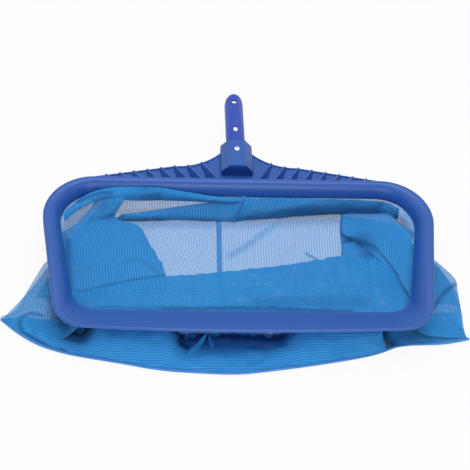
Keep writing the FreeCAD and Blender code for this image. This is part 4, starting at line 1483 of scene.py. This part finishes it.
RIGHT_SHEETS = {
    "wall_and_floor": NetSheet([
        [(4, 216, 31.5), (55, 216, 31.5), (110, 216, 31.5), (155, 216, 31.5), (190, 210, 31.5),
         (212, 188, 31.5), (219, 163, 31.5)],
        [(-4, 211.5, 18), (55, 213.5, 18), (110, 215.5, 18), (155, 217.5, 18), (189, 214, 18),
         (210, 194, 16), (219, 163, 15)],
        [(-17, 206, 4.5), (50, 210, 4.5), (108, 214, 4.5), (152, 217, 4.5), (187, 216, 5), (211, 198, 5),
         (222, 165, 4)],
        [(-23, 165, 2), (38, 166, 2.2), (90, 166, 2.4), (133, 166, 2.4), (178, 162, 2.2), (212, 155, 2),
         (240, 148, 1.8)],
        [(-23.5, 100, 2), (40, 100, 2), (90, 100, 2), (133, 100, 2), (178, 100, 2), (222, 100, 2),
         (268, 98, 1.6)],
        [(-22, 35, 2), (42, 35, 2), (92, 38, 2), (137, 42, 2), (182, 44, 2), (228, 40, 2), (270, 38, 1.6)],
        [(-11, -26.6, 1.4), (42, -20.3, 1.4), (90, -12.3, 1.4), (139, -2.3, 1.4), (176, 10, 1.4),
         (225, 17, 1.4), (271, 22, 1.4)],
    ], Ripple(0.8, 30.0, 26.0, 23.0), presses=(
        Crease((-12, 146), (58, 209), width=6.0, height=3.5),
        Crease((86, 152), (110, 133), width=3.5, height=3.0),
    ), marks=(
        FoldShadeMark([(-12, 146), (20, 170), (58, 209)], 3.5, 0.12, 0.4),
        FoldShadeMark([(86, 152), (110, 133)], 1.8, 0.5, 0.7),
        FoldShadeMark([(218, 166), (211, 190)], 12.0, 0.05, 0.4),
        FoldShadeMark([(-18, 198), (60, 203), (128, 208)], 8.0, 0.2, 0.25),
    ), hem=Hem.FIRST_ROW),
    "band_fold": hanging_fold(
        [(4, 216, 35.5), (48, 215.5, 36.5), (106, 215.5, 36), (165, 215.5, 34), (190, 210.5, 36),
         (204, 200, 36)],
        [(-5, 201, 5), (27, 205, 6), (70, 209, 7), (134, 213, 9), (184, 212, 12), (205, 200, 16)],
        1.5, Ripple(0.8, 26.0, 12.0, 25.0), (
            FoldShadeMark([(-5, 202), (27, 205), (70, 209), (134, 213), (184, 212)], 1.4, 0.5),
            FoldShadeMark([(201, 199), (206, 205)], 2.5, 0.6),
        )),
    "side_fold": NetSheet([
        [(190, 212, 22), (186, 214, 16), (172, 216, 11), (152, 217, 10), (137, 216, 9), (136.5, 216, 7),
         (136, 215, 5), (160, 211, 4), (206, 203, 3)],
        [(208, 186, 22), (203, 190, 17), (182, 197, 12), (155, 198, 13), (135, 197, 11), (134.5, 196, 8),
         (134, 195, 6), (165, 190, 4), (216, 184, 3)],
        [(220, 164, 32), (214, 165, 21), (188, 176, 14), (155, 181, 17), (134, 177, 15), (138, 173, 8),
         (132, 174, 6), (170, 168, 4), (228, 162, 3)],
        [(220, 140, 34), (215, 145, 22), (202, 152, 17), (182, 162, 19), (168, 160, 17), (166, 155, 8),
         (131, 158, 6), (180, 150, 4), (243, 147, 3)],
        [(217, 116, 34), (214, 121, 24), (206, 127, 18), (196, 134, 18), (188, 131, 16), (184, 128, 8),
         (130, 145, 5.5), (186, 128, 4), (256, 124, 3)],
        [(214, 90, 34), (213, 93, 26), (210, 97, 20), (205, 101, 18), (200, 98, 15), (196, 97, 8),
         (140, 128, 5), (192, 104, 4), (264, 100, 3)],
        [(211, 66, 34), (212, 68, 28), (211, 70, 22), (210, 72, 18), (207, 70, 14), (204, 72, 8),
         (160, 104, 4.5), (205, 78, 4), (266, 74, 3)],
    ], Ripple(0.8, 18.0, 18.0, 29.0), marks=(
        FoldShadeMark([(133, 169), (139, 170), (148, 168), (158, 160), (167, 148), (176, 133), (186, 117),
                  (195, 99), (203, 81), (209, 65)], 2.2, 0.7),
        FoldShadeMark([(156, 166), (165, 154), (160, 147)], 9.0, 0.5),
        FoldShadeMark([(134, 206), (131, 190), (130, 173), (130, 150)], 2.0, 0.4),
    ), doubled=0.3),
    "front_fold": NetSheet([
        [(-14, 24.4, 30), (55, 24.4, 30), (105, 24.6, 30), (150, 25, 30), (186, 28, 30.5), (206, 46, 31),
         (216, 68, 31)],
        [(-16, 38, 20), (55, 38, 20), (105, 38, 20), (150, 38.5, 20), (184, 41, 20), (204, 53, 22),
         (214, 69, 25)],
        [(-18, 60, 11), (55, 60, 11), (105, 62, 11.5), (148, 64, 12), (182, 62, 13), (202, 64, 15),
         (212, 70, 19)],
        [(-20, 87, 7), (53, 94, 7), (102, 100, 8), (142, 104, 9), (174, 98, 10), (197, 80, 12),
         (210, 71, 15)],
        [(-22, 116, 6), (56, 127, 6), (100, 135, 6.5), (131, 141, 7), (168, 138, 8), (187, 128, 9),
         (208, 72, 12)],
        [(-22, 114.5, 4), (56, 125.5, 4), (100, 133.5, 4.5), (131, 139.5, 5), (167, 136.5, 5),
         (185, 126.5, 5), (206, 72, 6)],
        [(-20, 66, 4), (55, 68, 4), (102, 72, 4), (145, 76, 4), (180, 74, 4), (204, 66, 4.5), (215, 60, 5)],
        [(-18, 26, 3.6), (55, 26, 3.6), (103, 26, 3.6), (146, 28, 3.6), (182, 34, 3.6), (214, 44, 3.6),
         (234, 52, 3.6)],
        [(-11, -26.6, 2.2), (42, -20.6, 2.2), (90, -12.6, 2.2), (139, -2.7, 2.2), (176, 10, 2.2),
         (225, 17.3, 2.2), (271, 22, 2.2)],
    ], Ripple(1.3, 8.0, 40.0, 31.0), marks=(
        FoldShadeMark([(-15, 60), (40, 60), (76, 58), (131, 56)], 4.5, 0.6),
        FoldShadeMark([(20, 72), (80, 74), (150, 72)], 8.0, 0.3),
    ), hem=Hem.FIRST_ROW, turned=True, doubled=0.3),
    "front_swell": NetSheet([
        [(-3, 28, 4), (22, 28, 4), (42, 27, 5), (60, 22, 22), (80, 21, 30), (110, 21, 31), (140, 22, 31),
         (158, 24, 31), (163, 27, 29), (159, 28, 28)],
        [(-3, 20, 5), (22, 19, 5), (43, 19, 7), (60, 14, 25), (80, 13, 31.5), (110, 14, 32), (140, 15, 32),
         (158, 17, 32), (163, 20, 30), (158, 22, 28)],
        [(-3, 9, 6.5), (22, 9, 6.5), (43, 10, 10), (60, 6, 23), (80, 5, 28), (110, 7, 28.5), (140, 9, 28.5),
         (158, 11, 28), (164, 14, 26), (159, 17, 24)],
        [(-3, -3, 9), (22, -2, 10), (43, 0, 13), (61, -2, 17), (80, -2, 19), (110, 1, 20), (140, 5, 20),
         (159, 7, 19), (166, 10, 17), (161, 13, 15)],
        [(-4, -15, 7), (21, -13, 7), (43, -11, 8.5), (61, -10, 9), (80, -8.5, 10), (110, -4, 11),
         (140, 1, 11), (161, 3.5, 10), (169, 7, 9), (165, 10, 7)],
        [(-7, -26.7, 2.6), (20, -24, 2.6), (42, -20.5, 2.6), (62, -17.5, 2.6), (80, -14.3, 2.6),
         (110, -8.7, 2.6), (139, -3, 2.6), (164, 3, 2.6), (171, 6, 2.6), (171, 8, 2.6)],
    ], Ripple(0.9, 18.0, 12.0, 33.0), marks=(
        FoldShadeMark([(-10, 24), (20, 22), (46, 20)], 8.0, 0.95, 1.0),
    ), turned=True, doubled=0.6),
    "low_corner": NetSheet([
        [(160, 30, 9), (190, 38, 7), (215, 48, 6), (238, 60, 5), (262, 62, 4)],
        [(164, 22, 12), (190, 30, 8.5), (215, 40, 8), (238, 50, 7.5), (266, 48, 5.5)],
        [(177, 10, 3), (205, 14, 3), (237, 17, 3), (258, 20, 3.4), (271, 22, 3.8)],
    ], Ripple(1.1, 14.0, 12.0, 35.0), marks=(
        FoldShadeMark([(168, 30), (172, 16), (180, 12)], 7.0, 0.8, 1.0),
        FoldShadeMark([(190, 36), (215, 46)], 5.0, 0.5),
    ), doubled=0.5),
    "ear": NetSheet([
        [(219.7, 138, 31.5), (232, 141, 18), (250, 143, 2.6)],
        [(216.8, 112, 31.5), (238, 116, 22), (269, 116, 3)],
        [(214, 88, 31.5), (242, 90, 20), (270, 94, 3.4)],
        [(210.6, 60, 31.5), (240, 60, 18), (269, 62, 4.2)],
        [(204.5, 38, 31.5), (232, 38, 14), (268, 40, 4.5)],
        [(190, 25, 31.5), (222, 22, 12), (271, 24, 4)],
    ], Ripple(1.3, 16.0, 16.0, 37.0), presses=(
        Crease((269, 98), (238, 59), width=4.0, height=2.5),
    ), marks=(
        FoldShadeMark([(268, 106), (250, 85), (238, 66), (226, 48), (214, 34), (202, 20)], 2.4, 0.65),
        FoldShadeMark([(222, 130), (221, 100), (218, 60), (208, 34)], 5.0, 0.4),
    ), hem=Hem.FIRST_COLUMN, doubled=0.25),
}


@dataclass(frozen=True)
class TubeSection:
    """A flattened tube that follows a line on the cloth, such as a seam of several layers.

    Attributes:
        line: its centre line, counted from the floor.
        half_width: half its width across the line.
        half_height: half its height.
        sides: how many points lie round it.
        steps: how many points lie in each span of the line.
    """

    line: list[Point]
    half_width: float
    half_height: float
    sides: int = 12
    steps: int = 12
    lengthways_reach: ClassVar[float] = 60.0

    def path(self) -> np.ndarray:
        """Return the centre line in millimetres above the floor."""
        control = np.array(self.line, float)
        return spline_weights(len(control), self.steps) @ control

    def mesh(self) -> bpy.types.Mesh:
        """Make the tube's mesh, which lies flat.

        A line whose ends are near each other from side to side runs from front to back, and its tube is
        then wide along x. Otherwise it is wide along y.

        Returns:
            A closed mesh.
        """
        path = self.path()
        tangents = np.gradient(path, axis=0)
        tangents /= np.linalg.norm(tangents, axis=-1, keepdims=True)
        lengthways = abs(path[-1, 0] - path[0, 0]) < self.lengthways_reach
        flat = np.array([1.0, 0.0, 0.0]) if lengthways else np.array([0.0, 1.0, 0.0])
        across = flat - tangents * (tangents @ flat)[:, None]
        across /= np.linalg.norm(across, axis=-1, keepdims=True)
        upward = np.cross(across, tangents)
        turns = np.linspace(0.0, 2 * math.pi, self.sides, endpoint=False)
        rings = np.stack([
            path + across * self.half_width * math.cos(turn) + upward * self.half_height * math.sin(turn)
            for turn in turns
        ], axis=1)
        mesh = grid_mesh(in_row_frame(rings, Level.FLOOR), closed_u=True)
        close_ends(mesh)
        return mesh


def close_ends(mesh: bpy.types.Mesh) -> None:
    """Fill the open ends of a tube and make its faces point outwards.

    Args:
        mesh: the tube, which is changed.
    """
    work = bmesh.new()
    work.from_mesh(mesh)
    open_edges = [edge for edge in work.edges if edge.is_boundary]
    bmesh.ops.holes_fill(work, edges=open_edges, sides=0)
    work.to_mesh(mesh)
    work.free()
    face_outwards(mesh)


@dataclass(frozen=True)
class Seam:
    """A sewn seam or binding of the bag, in one run or in two where a fold hides its bend."""

    name: str
    node: str
    runs: tuple[TubeSection, ...]

    def build(self, materials: Wardrobe) -> bpy.types.Object:
        """Build the seam, which stands for one node.

        Args:
            materials: the object's materials.

        Returns:
            The piece.
        """
        mesh = joined([run.mesh() for run in self.runs])
        piece = link_mesh(self.name, mesh, materials.seam)
        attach(piece, BODY)
        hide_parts(self.node)
        return piece


BACK_SEAM = Seam("bag_back_seam", "back_centre_seam", (
    TubeSection([(8, 218, 36), (7, 215, 35.6), (4.5, 210.5, 28.5), (0.5, 206.2, 20.5), (-4, 200.5, 7)],
                half_width=1.9, half_height=0.5),
    TubeSection([(-22.6, 207, 4.6), (-22.8, 202, 3.6), (-22.9, 172, 3), (-23.6, 139, 2.9), (-23.8, 100, 2.9),
                 (-24.6, 66, 2.9)], half_width=3.0, half_height=0.7),
))
FRONT_SEAM = Seam("bag_front_seam", "front_centre_seam", (
    TubeSection([(-14, 20.5, 32), (-14, 25, 28.2), (-16, 38, 19), (-18, 60, 10), (-20, 87, 6),
                 (-21.5, 110, 5)], half_width=2.6, half_height=0.6),
))
BOTTOM_SEAM = Seam("bag_bottom_seam", "bottom_seam_binding", (TubeSection([
    (-285, 47, 2.4), (-262, 26.5, 2.4), (-238, 11, 2.4), (-214, 2, 2.2), (-191, -4, 2.2), (-144, -13, 2.2),
    (-98, -22, 2.2), (-51, -26, 2.2), (-5, -27, 2.2), (42, -21, 2.2), (90, -13, 2.2), (139, -3, 2.2),
    (163, 4, 2.2), (177, 10, 2.2), (192, 15, 2.4), (213, 16, 2.6), (237, 17, 2.8), (256, 20, 2.8),
    (273, 24, 2.8),
], half_width=1.9, half_height=1.6, steps=14),))


@dataclass(frozen=True)
class HemBand:
    """The tape folded over the net's top edge, open at the bottom, that runs right round the groove.

    Its unfolded width and its round length are in metres, and the rest is in millimetres.
    """

    thickness: float = 2.4
    top: float = 41.0
    middle_height: float = 35.0
    bottom: float = 32.2
    inset: float = 0.25
    crown_points: int = 7
    unfolded: float = 0.020
    round_length: float = 1.31

    def section(self) -> list[tuple[float, float]]:
        """Trace the folded section.

        Returns:
            Distances outwards and heights above the floor, from the inner edge over the crown to the outer.
        """
        inner, outer = self.inset, self.thickness - self.inset
        middle, radius = self.thickness / 2, self.thickness / 2 - self.inset
        crown = [
            (middle - radius * math.cos(turn), self.top - radius + radius * math.sin(turn))
            for turn in np.linspace(0.0, math.pi, self.crown_points)
        ]
        return [
            (inner, self.bottom), (inner, self.middle_height), *crown,
            (outer, self.middle_height), (outer, self.bottom),
        ]

    def build(self, materials: Wardrobe) -> bpy.types.Object:
        """Args:
            materials: the object's materials.

        Returns:
            The piece.
        """
        ring = ScoopRing()
        rows = [at_height(ring.hem_line(outward), height) for outward, height in self.section()]
        mesh = grid_mesh(in_row_frame(np.stack(rows), Level.FLOOR), closed_u=True)
        piece = link_mesh("hem_band", mesh, materials.hem)
        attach(piece, BODY)
        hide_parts("hem_tape")
        log.info("%s: %.4f square metres of tape", piece.name, surface_area(mesh))
        return piece


@dataclass(frozen=True)
class Stitching:
    """Rows of stitches, made by a geometry tree that sets short threads along lines."""

    pitch: float = 3.2
    length: float = 2.2
    thread: float = 0.28
    hem_height: float = 34.0
    hem_clearance: float = 0.1
    side_inset: float = 0.7
    seam_share: float = 0.8
    bead_segments: int = 6
    bead_rings: int = 5

    def tree(self) -> tuple[bpy.types.NodeTree, dict[str, str]]:
        """Build the geometry tree.

        Returns:
            The tree, and its inputs' identifiers by name.
        """
        tree = bpy.data.node_groups.new("stitch_rows", "GeometryNodeTree")
        names = {}
        tree.interface.new_socket("Geometry", in_out="INPUT", socket_type="NodeSocketGeometry")
        for label, value in (("Pitch", self.pitch * MM), ("Stitch length", self.length * MM),
                             ("Thread radius", self.thread * MM)):
            socket = tree.interface.new_socket(label, in_out="INPUT", socket_type="NodeSocketFloat")
            socket.default_value = value
            names[label] = socket.identifier
        names["Thread"] = tree.interface.new_socket(
            "Thread", in_out="INPUT", socket_type="NodeSocketMaterial").identifier
        tree.interface.new_socket("Geometry", in_out="OUTPUT", socket_type="NodeSocketGeometry")
        nodes = Nodes(tree)
        given = nodes.add("NodeGroupInput").outputs
        lines = nodes.add("GeometryNodeMeshToCurve", {"Mesh": given["Geometry"]}).outputs["Curve"]
        spaced = nodes.add("GeometryNodeResampleCurve", {"Curve": lines, "Length": given["Pitch"]},
                           mode="LENGTH").outputs["Curve"]
        tangent = nodes.add("GeometryNodeInputTangent").outputs["Tangent"]
        turn = nodes.add("FunctionNodeAlignRotationToVector", {"Vector": tangent},
                         axis="Z").outputs["Rotation"]
        bead = nodes.add("GeometryNodeMeshUVSphere", {
            "Segments": self.bead_segments, "Rings": self.bead_rings, "Radius": 1.0,
        }).outputs["Mesh"]
        half = nodes.math("MULTIPLY", given["Stitch length"], 0.5)
        size = nodes.add("ShaderNodeCombineXYZ", {
            "X": given["Thread radius"], "Y": given["Thread radius"], "Z": half,
        }).outputs["Vector"]
        placed = nodes.add("GeometryNodeInstanceOnPoints", {
            "Points": spaced, "Instance": bead, "Rotation": turn, "Scale": size,
        }).outputs["Instances"]
        plain = nodes.add("GeometryNodeRealizeInstances", {"Geometry": placed}).outputs["Geometry"]
        dressed = nodes.add("GeometryNodeSetMaterial", {"Geometry": plain, "Material": given["Thread"]})
        nodes.add("NodeGroupOutput", {"Geometry": dressed.outputs["Geometry"]})
        return tree, names

    def lines(self) -> list[tuple[np.ndarray, bool]]:
        """Find the lines that are sewn.

        Returns:
            Each line in millimetres, counted from the floor, and whether it is closed.
        """
        ring = ScoopRing()
        rows = []
        for outward in (-self.hem_clearance, ring.hem_thickness + self.hem_clearance):
            rows.append((at_height(ring.hem_line(outward), self.hem_height), True))
        for run in BACK_SEAM.runs + FRONT_SEAM.runs:
            inset = run.half_width - self.side_inset
            for side in (-1, 1):
                offset = np.array([side * inset, 0.0, run.half_height * self.seam_share])
                rows.append((run.path() + offset, False))
        for run in BOTTOM_SEAM.runs:
            rows.append((run.path() + np.array([0.0, 0.0, run.half_height]), False))
        return rows

    def build(self, materials: Wardrobe) -> bpy.types.Object:
        """Build all stitches as one plain mesh.

        Args:
            materials: the object's materials.

        Returns:
            The piece.
        """
        points, edges = [], []
        for line, closed in self.lines():
            start = len(points)
            points += in_row_frame(line, Level.FLOOR).tolist()
            edges += [(start + i, start + i + 1) for i in range(len(line) - 1)]
            if closed:
                edges.append((len(points) - 1, start))
        guide = bpy.data.meshes.new("stitch_guide")
        guide.from_pydata(points, edges, [])
        scratch = bpy.data.objects.new("stitch_guide", guide)
        bpy.context.scene.collection.objects.link(scratch)
        tree, names = self.tree()
        sewing = scratch.modifiers.new("sewing", "NODES")
        sewing.node_group = tree
        sewing[names["Pitch"]] = self.pitch * MM
        sewing[names["Stitch length"]] = self.length * MM
        sewing[names["Thread radius"]] = self.thread * MM
        sewing[names["Thread"]] = materials.stitch
        mesh = evaluated_mesh(scratch)
        bpy.data.objects.remove(scratch)
        mesh.shade_smooth()
        piece = link_mesh("bag_stitches", mesh, materials.stitch)
        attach(piece, BODY)
        return piece


# Setting

@dataclass(frozen=True)
class Lamp:
    """A square soft lamp: where it hangs, what it points at, its width and its power in watts."""

    name: str
    place: Point
    aim: Point
    width: float
    power: float

    def hang(self) -> None:
        """Put the lamp into the scene."""
        data = bpy.data.lights.new(self.name, "AREA")
        data.shape = "SQUARE"
        data.size = self.width
        data.energy = self.power
        lamp = bpy.data.objects.new(self.name, data)
        bpy.context.scene.collection.objects.link(lamp)
        lamp.location = self.place
        lamp.rotation_mode = "QUATERNION"
        lamp.rotation_quaternion = (Vector(self.place) - Vector(self.aim)).to_track_quat("Z", "Y")


def looked_at(nodes: Nodes) -> bpy.types.NodeSocket:
    """Tell rays that look from rays that light.

    Args:
        nodes: the tree's builder.

    Returns:
        1 for a ray from the camera, off a glossy surface or through a clear one, and 0 for others.
    """
    path = nodes.add("ShaderNodeLightPath").outputs
    passed_on = nodes.math("MAXIMUM", path["Is Glossy Ray"], path["Is Transmission Ray"])
    return nodes.math("MAXIMUM", path["Is Camera Ray"], passed_on)


@dataclass(frozen=True)
class Setting:
    """A plain white floor, soft lamps and the camera.

    The camera's distance, target and lens are in millimetres and its angles in degrees. All other lengths
    are in metres.
    """

    camera_distance: float = 1650.0
    elevation: float = 50.0
    azimuth: float = -6.87
    roll: float = 6.08
    focal_length: float = 104.5
    film_width: float = 36.0
    near: float = 0.05
    far: float = 50.0
    target: Point = (-8.0, 137.0, 0.0)
    daylight: float = 0.40
    floor_reach: float = 12.0
    floor_height: float = -0.0005
    floor_grey: float = 0.8
    floor_glow: float = 0.92
    lamps: tuple[Lamp, ...] = (
        Lamp("overhead", place=(0.0, 0.05, 1.6), aim=(0.0, 0.0, 0.0), width=1.4, power=20.0),
        Lamp("left_fill", place=(-1.5, 0.0, 1.0), aim=(0.0, 0.0, 0.0), width=1.0, power=2.0),
        Lamp("front_fill", place=(0.1, -1.3, 0.1), aim=(0.0, -0.2, 0.03), width=0.3, power=8.0),
    )

    def camera(self) -> None:
        """Place the camera at the photograph's angle."""
        target = Vector(in_row_frame(np.array(self.target), Level.CREST))
        turn, lift = math.radians(self.azimuth), math.radians(self.elevation)
        back = Vector((math.sin(turn) * math.cos(lift), -math.cos(turn) * math.cos(lift), math.sin(lift)))
        right = (-back).cross(Vector((0, 0, 1))).normalized()
        up = right.cross(-back)
        lean = math.radians(self.roll)
        right_rolled = right * math.cos(lean) + up * math.sin(lean)
        up_rolled = up * math.cos(lean) - right * math.sin(lean)
        data = bpy.data.cameras.new("camera")
        data.lens = self.focal_length
        data.sensor_width = self.film_width
        data.clip_start = self.near
        data.clip_end = self.far
        camera = bpy.data.objects.new("camera", data)
        bpy.context.scene.collection.objects.link(camera)
        axes = Matrix((right_rolled, up_rolled, back)).transposed().to_4x4()
        camera.matrix_world = Matrix.Translation(target + back * self.camera_distance * MM) @ axes
        bpy.context.scene.camera = camera

    def floor(self) -> None:
        """Lay a white floor that keeps a soft shadow of the object."""
        reach = self.floor_reach
        corners = [(-reach, -reach), (reach, -reach), (reach, reach), (-reach, reach)]
        mesh = bpy.data.meshes.new("floor")
        mesh.from_pydata([(x, y, self.floor_height) for x, y in corners], [], [(0, 1, 2, 3)])
        material, nodes = new_material("white_floor")
        white = nodes.add("ShaderNodeEmission", {"Strength": 1.0})
        lit = nodes.add("ShaderNodeBsdfDiffuse", {"Color": (*[self.floor_grey] * 3, 1.0)})
        share = nodes.math("MULTIPLY", looked_at(nodes), self.floor_glow)
        mixed = nodes.add("ShaderNodeMixShader", {0: share, 1: lit.outputs[0], 2: white.outputs[0]})
        nodes.add("ShaderNodeOutputMaterial", {"Surface": mixed.outputs[0]})
        floor = link_mesh("floor", mesh, material)

    def world(self) -> None:
        """Give the surroundings an even pale light, and white to every ray that looks at them."""
        world = bpy.data.worlds.new("studio")
        world.use_nodes = True
        nodes = Nodes(world.node_tree)
        strength = nodes.math("MULTIPLY_ADD", looked_at(nodes), 1.0 - self.daylight, self.daylight)
        light = nodes.add("ShaderNodeBackground", {"Color": (1.0, 1.0, 1.0, 1.0), "Strength": strength})
        nodes.add("ShaderNodeOutputWorld", {"Surface": light.outputs[0]})
        bpy.context.scene.world = world

    def build(self) -> None:
        """Set up the whole setting."""
        self.camera()
        self.floor()
        for lamp in self.lamps:
            lamp.hang()
        self.world()
        bpy.context.scene.view_settings.view_transform = "Standard"


def main() -> None:
    """Build the setting and every sub-assembly in order."""
    logging.basicConfig(level=logging.INFO, format="%(message)s")
    Setting().build()
    materials = Wardrobe()
    ring = ScoopRing().build(materials)
    log.info("%s built", ring.name)
    copies = RoundedCopies()
    for name, node, finish, material in (
        ("bridge_moulding", "handle_bridge", FRAME_PLASTIC, materials.frame),
        ("tongue_moulding", "handle_tongue", TONGUE_PLASTIC, materials.tongue),
    ):
        piece = copies.build(name, node, finish.slot, material)
        log.info("%s built", piece.name)
    log.info("%s built", RibFlanks().build(materials).name)
    for nodes, material in ((RIVET_NODES, materials.rivet), (STRIP_NODES, materials.strip)):
        for node in nodes:
            paint(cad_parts[node].data, material)
    for piece in (HemBand().build(materials), Stitching().build(materials)):
        log.info("%s built", piece.name)
    back_seam, front_seam, bottom_seam = [
        seam.build(materials) for seam in (BACK_SEAM, FRONT_SEAM, BOTTOM_SEAM)
    ]
    for piece in NetBag(LEFT_SHEETS, RIGHT_SHEETS).build(materials, [back_seam, bottom_seam], [front_seam]):
        log.info("%s built", piece.name)


if __name__ == "__main__":
    main()
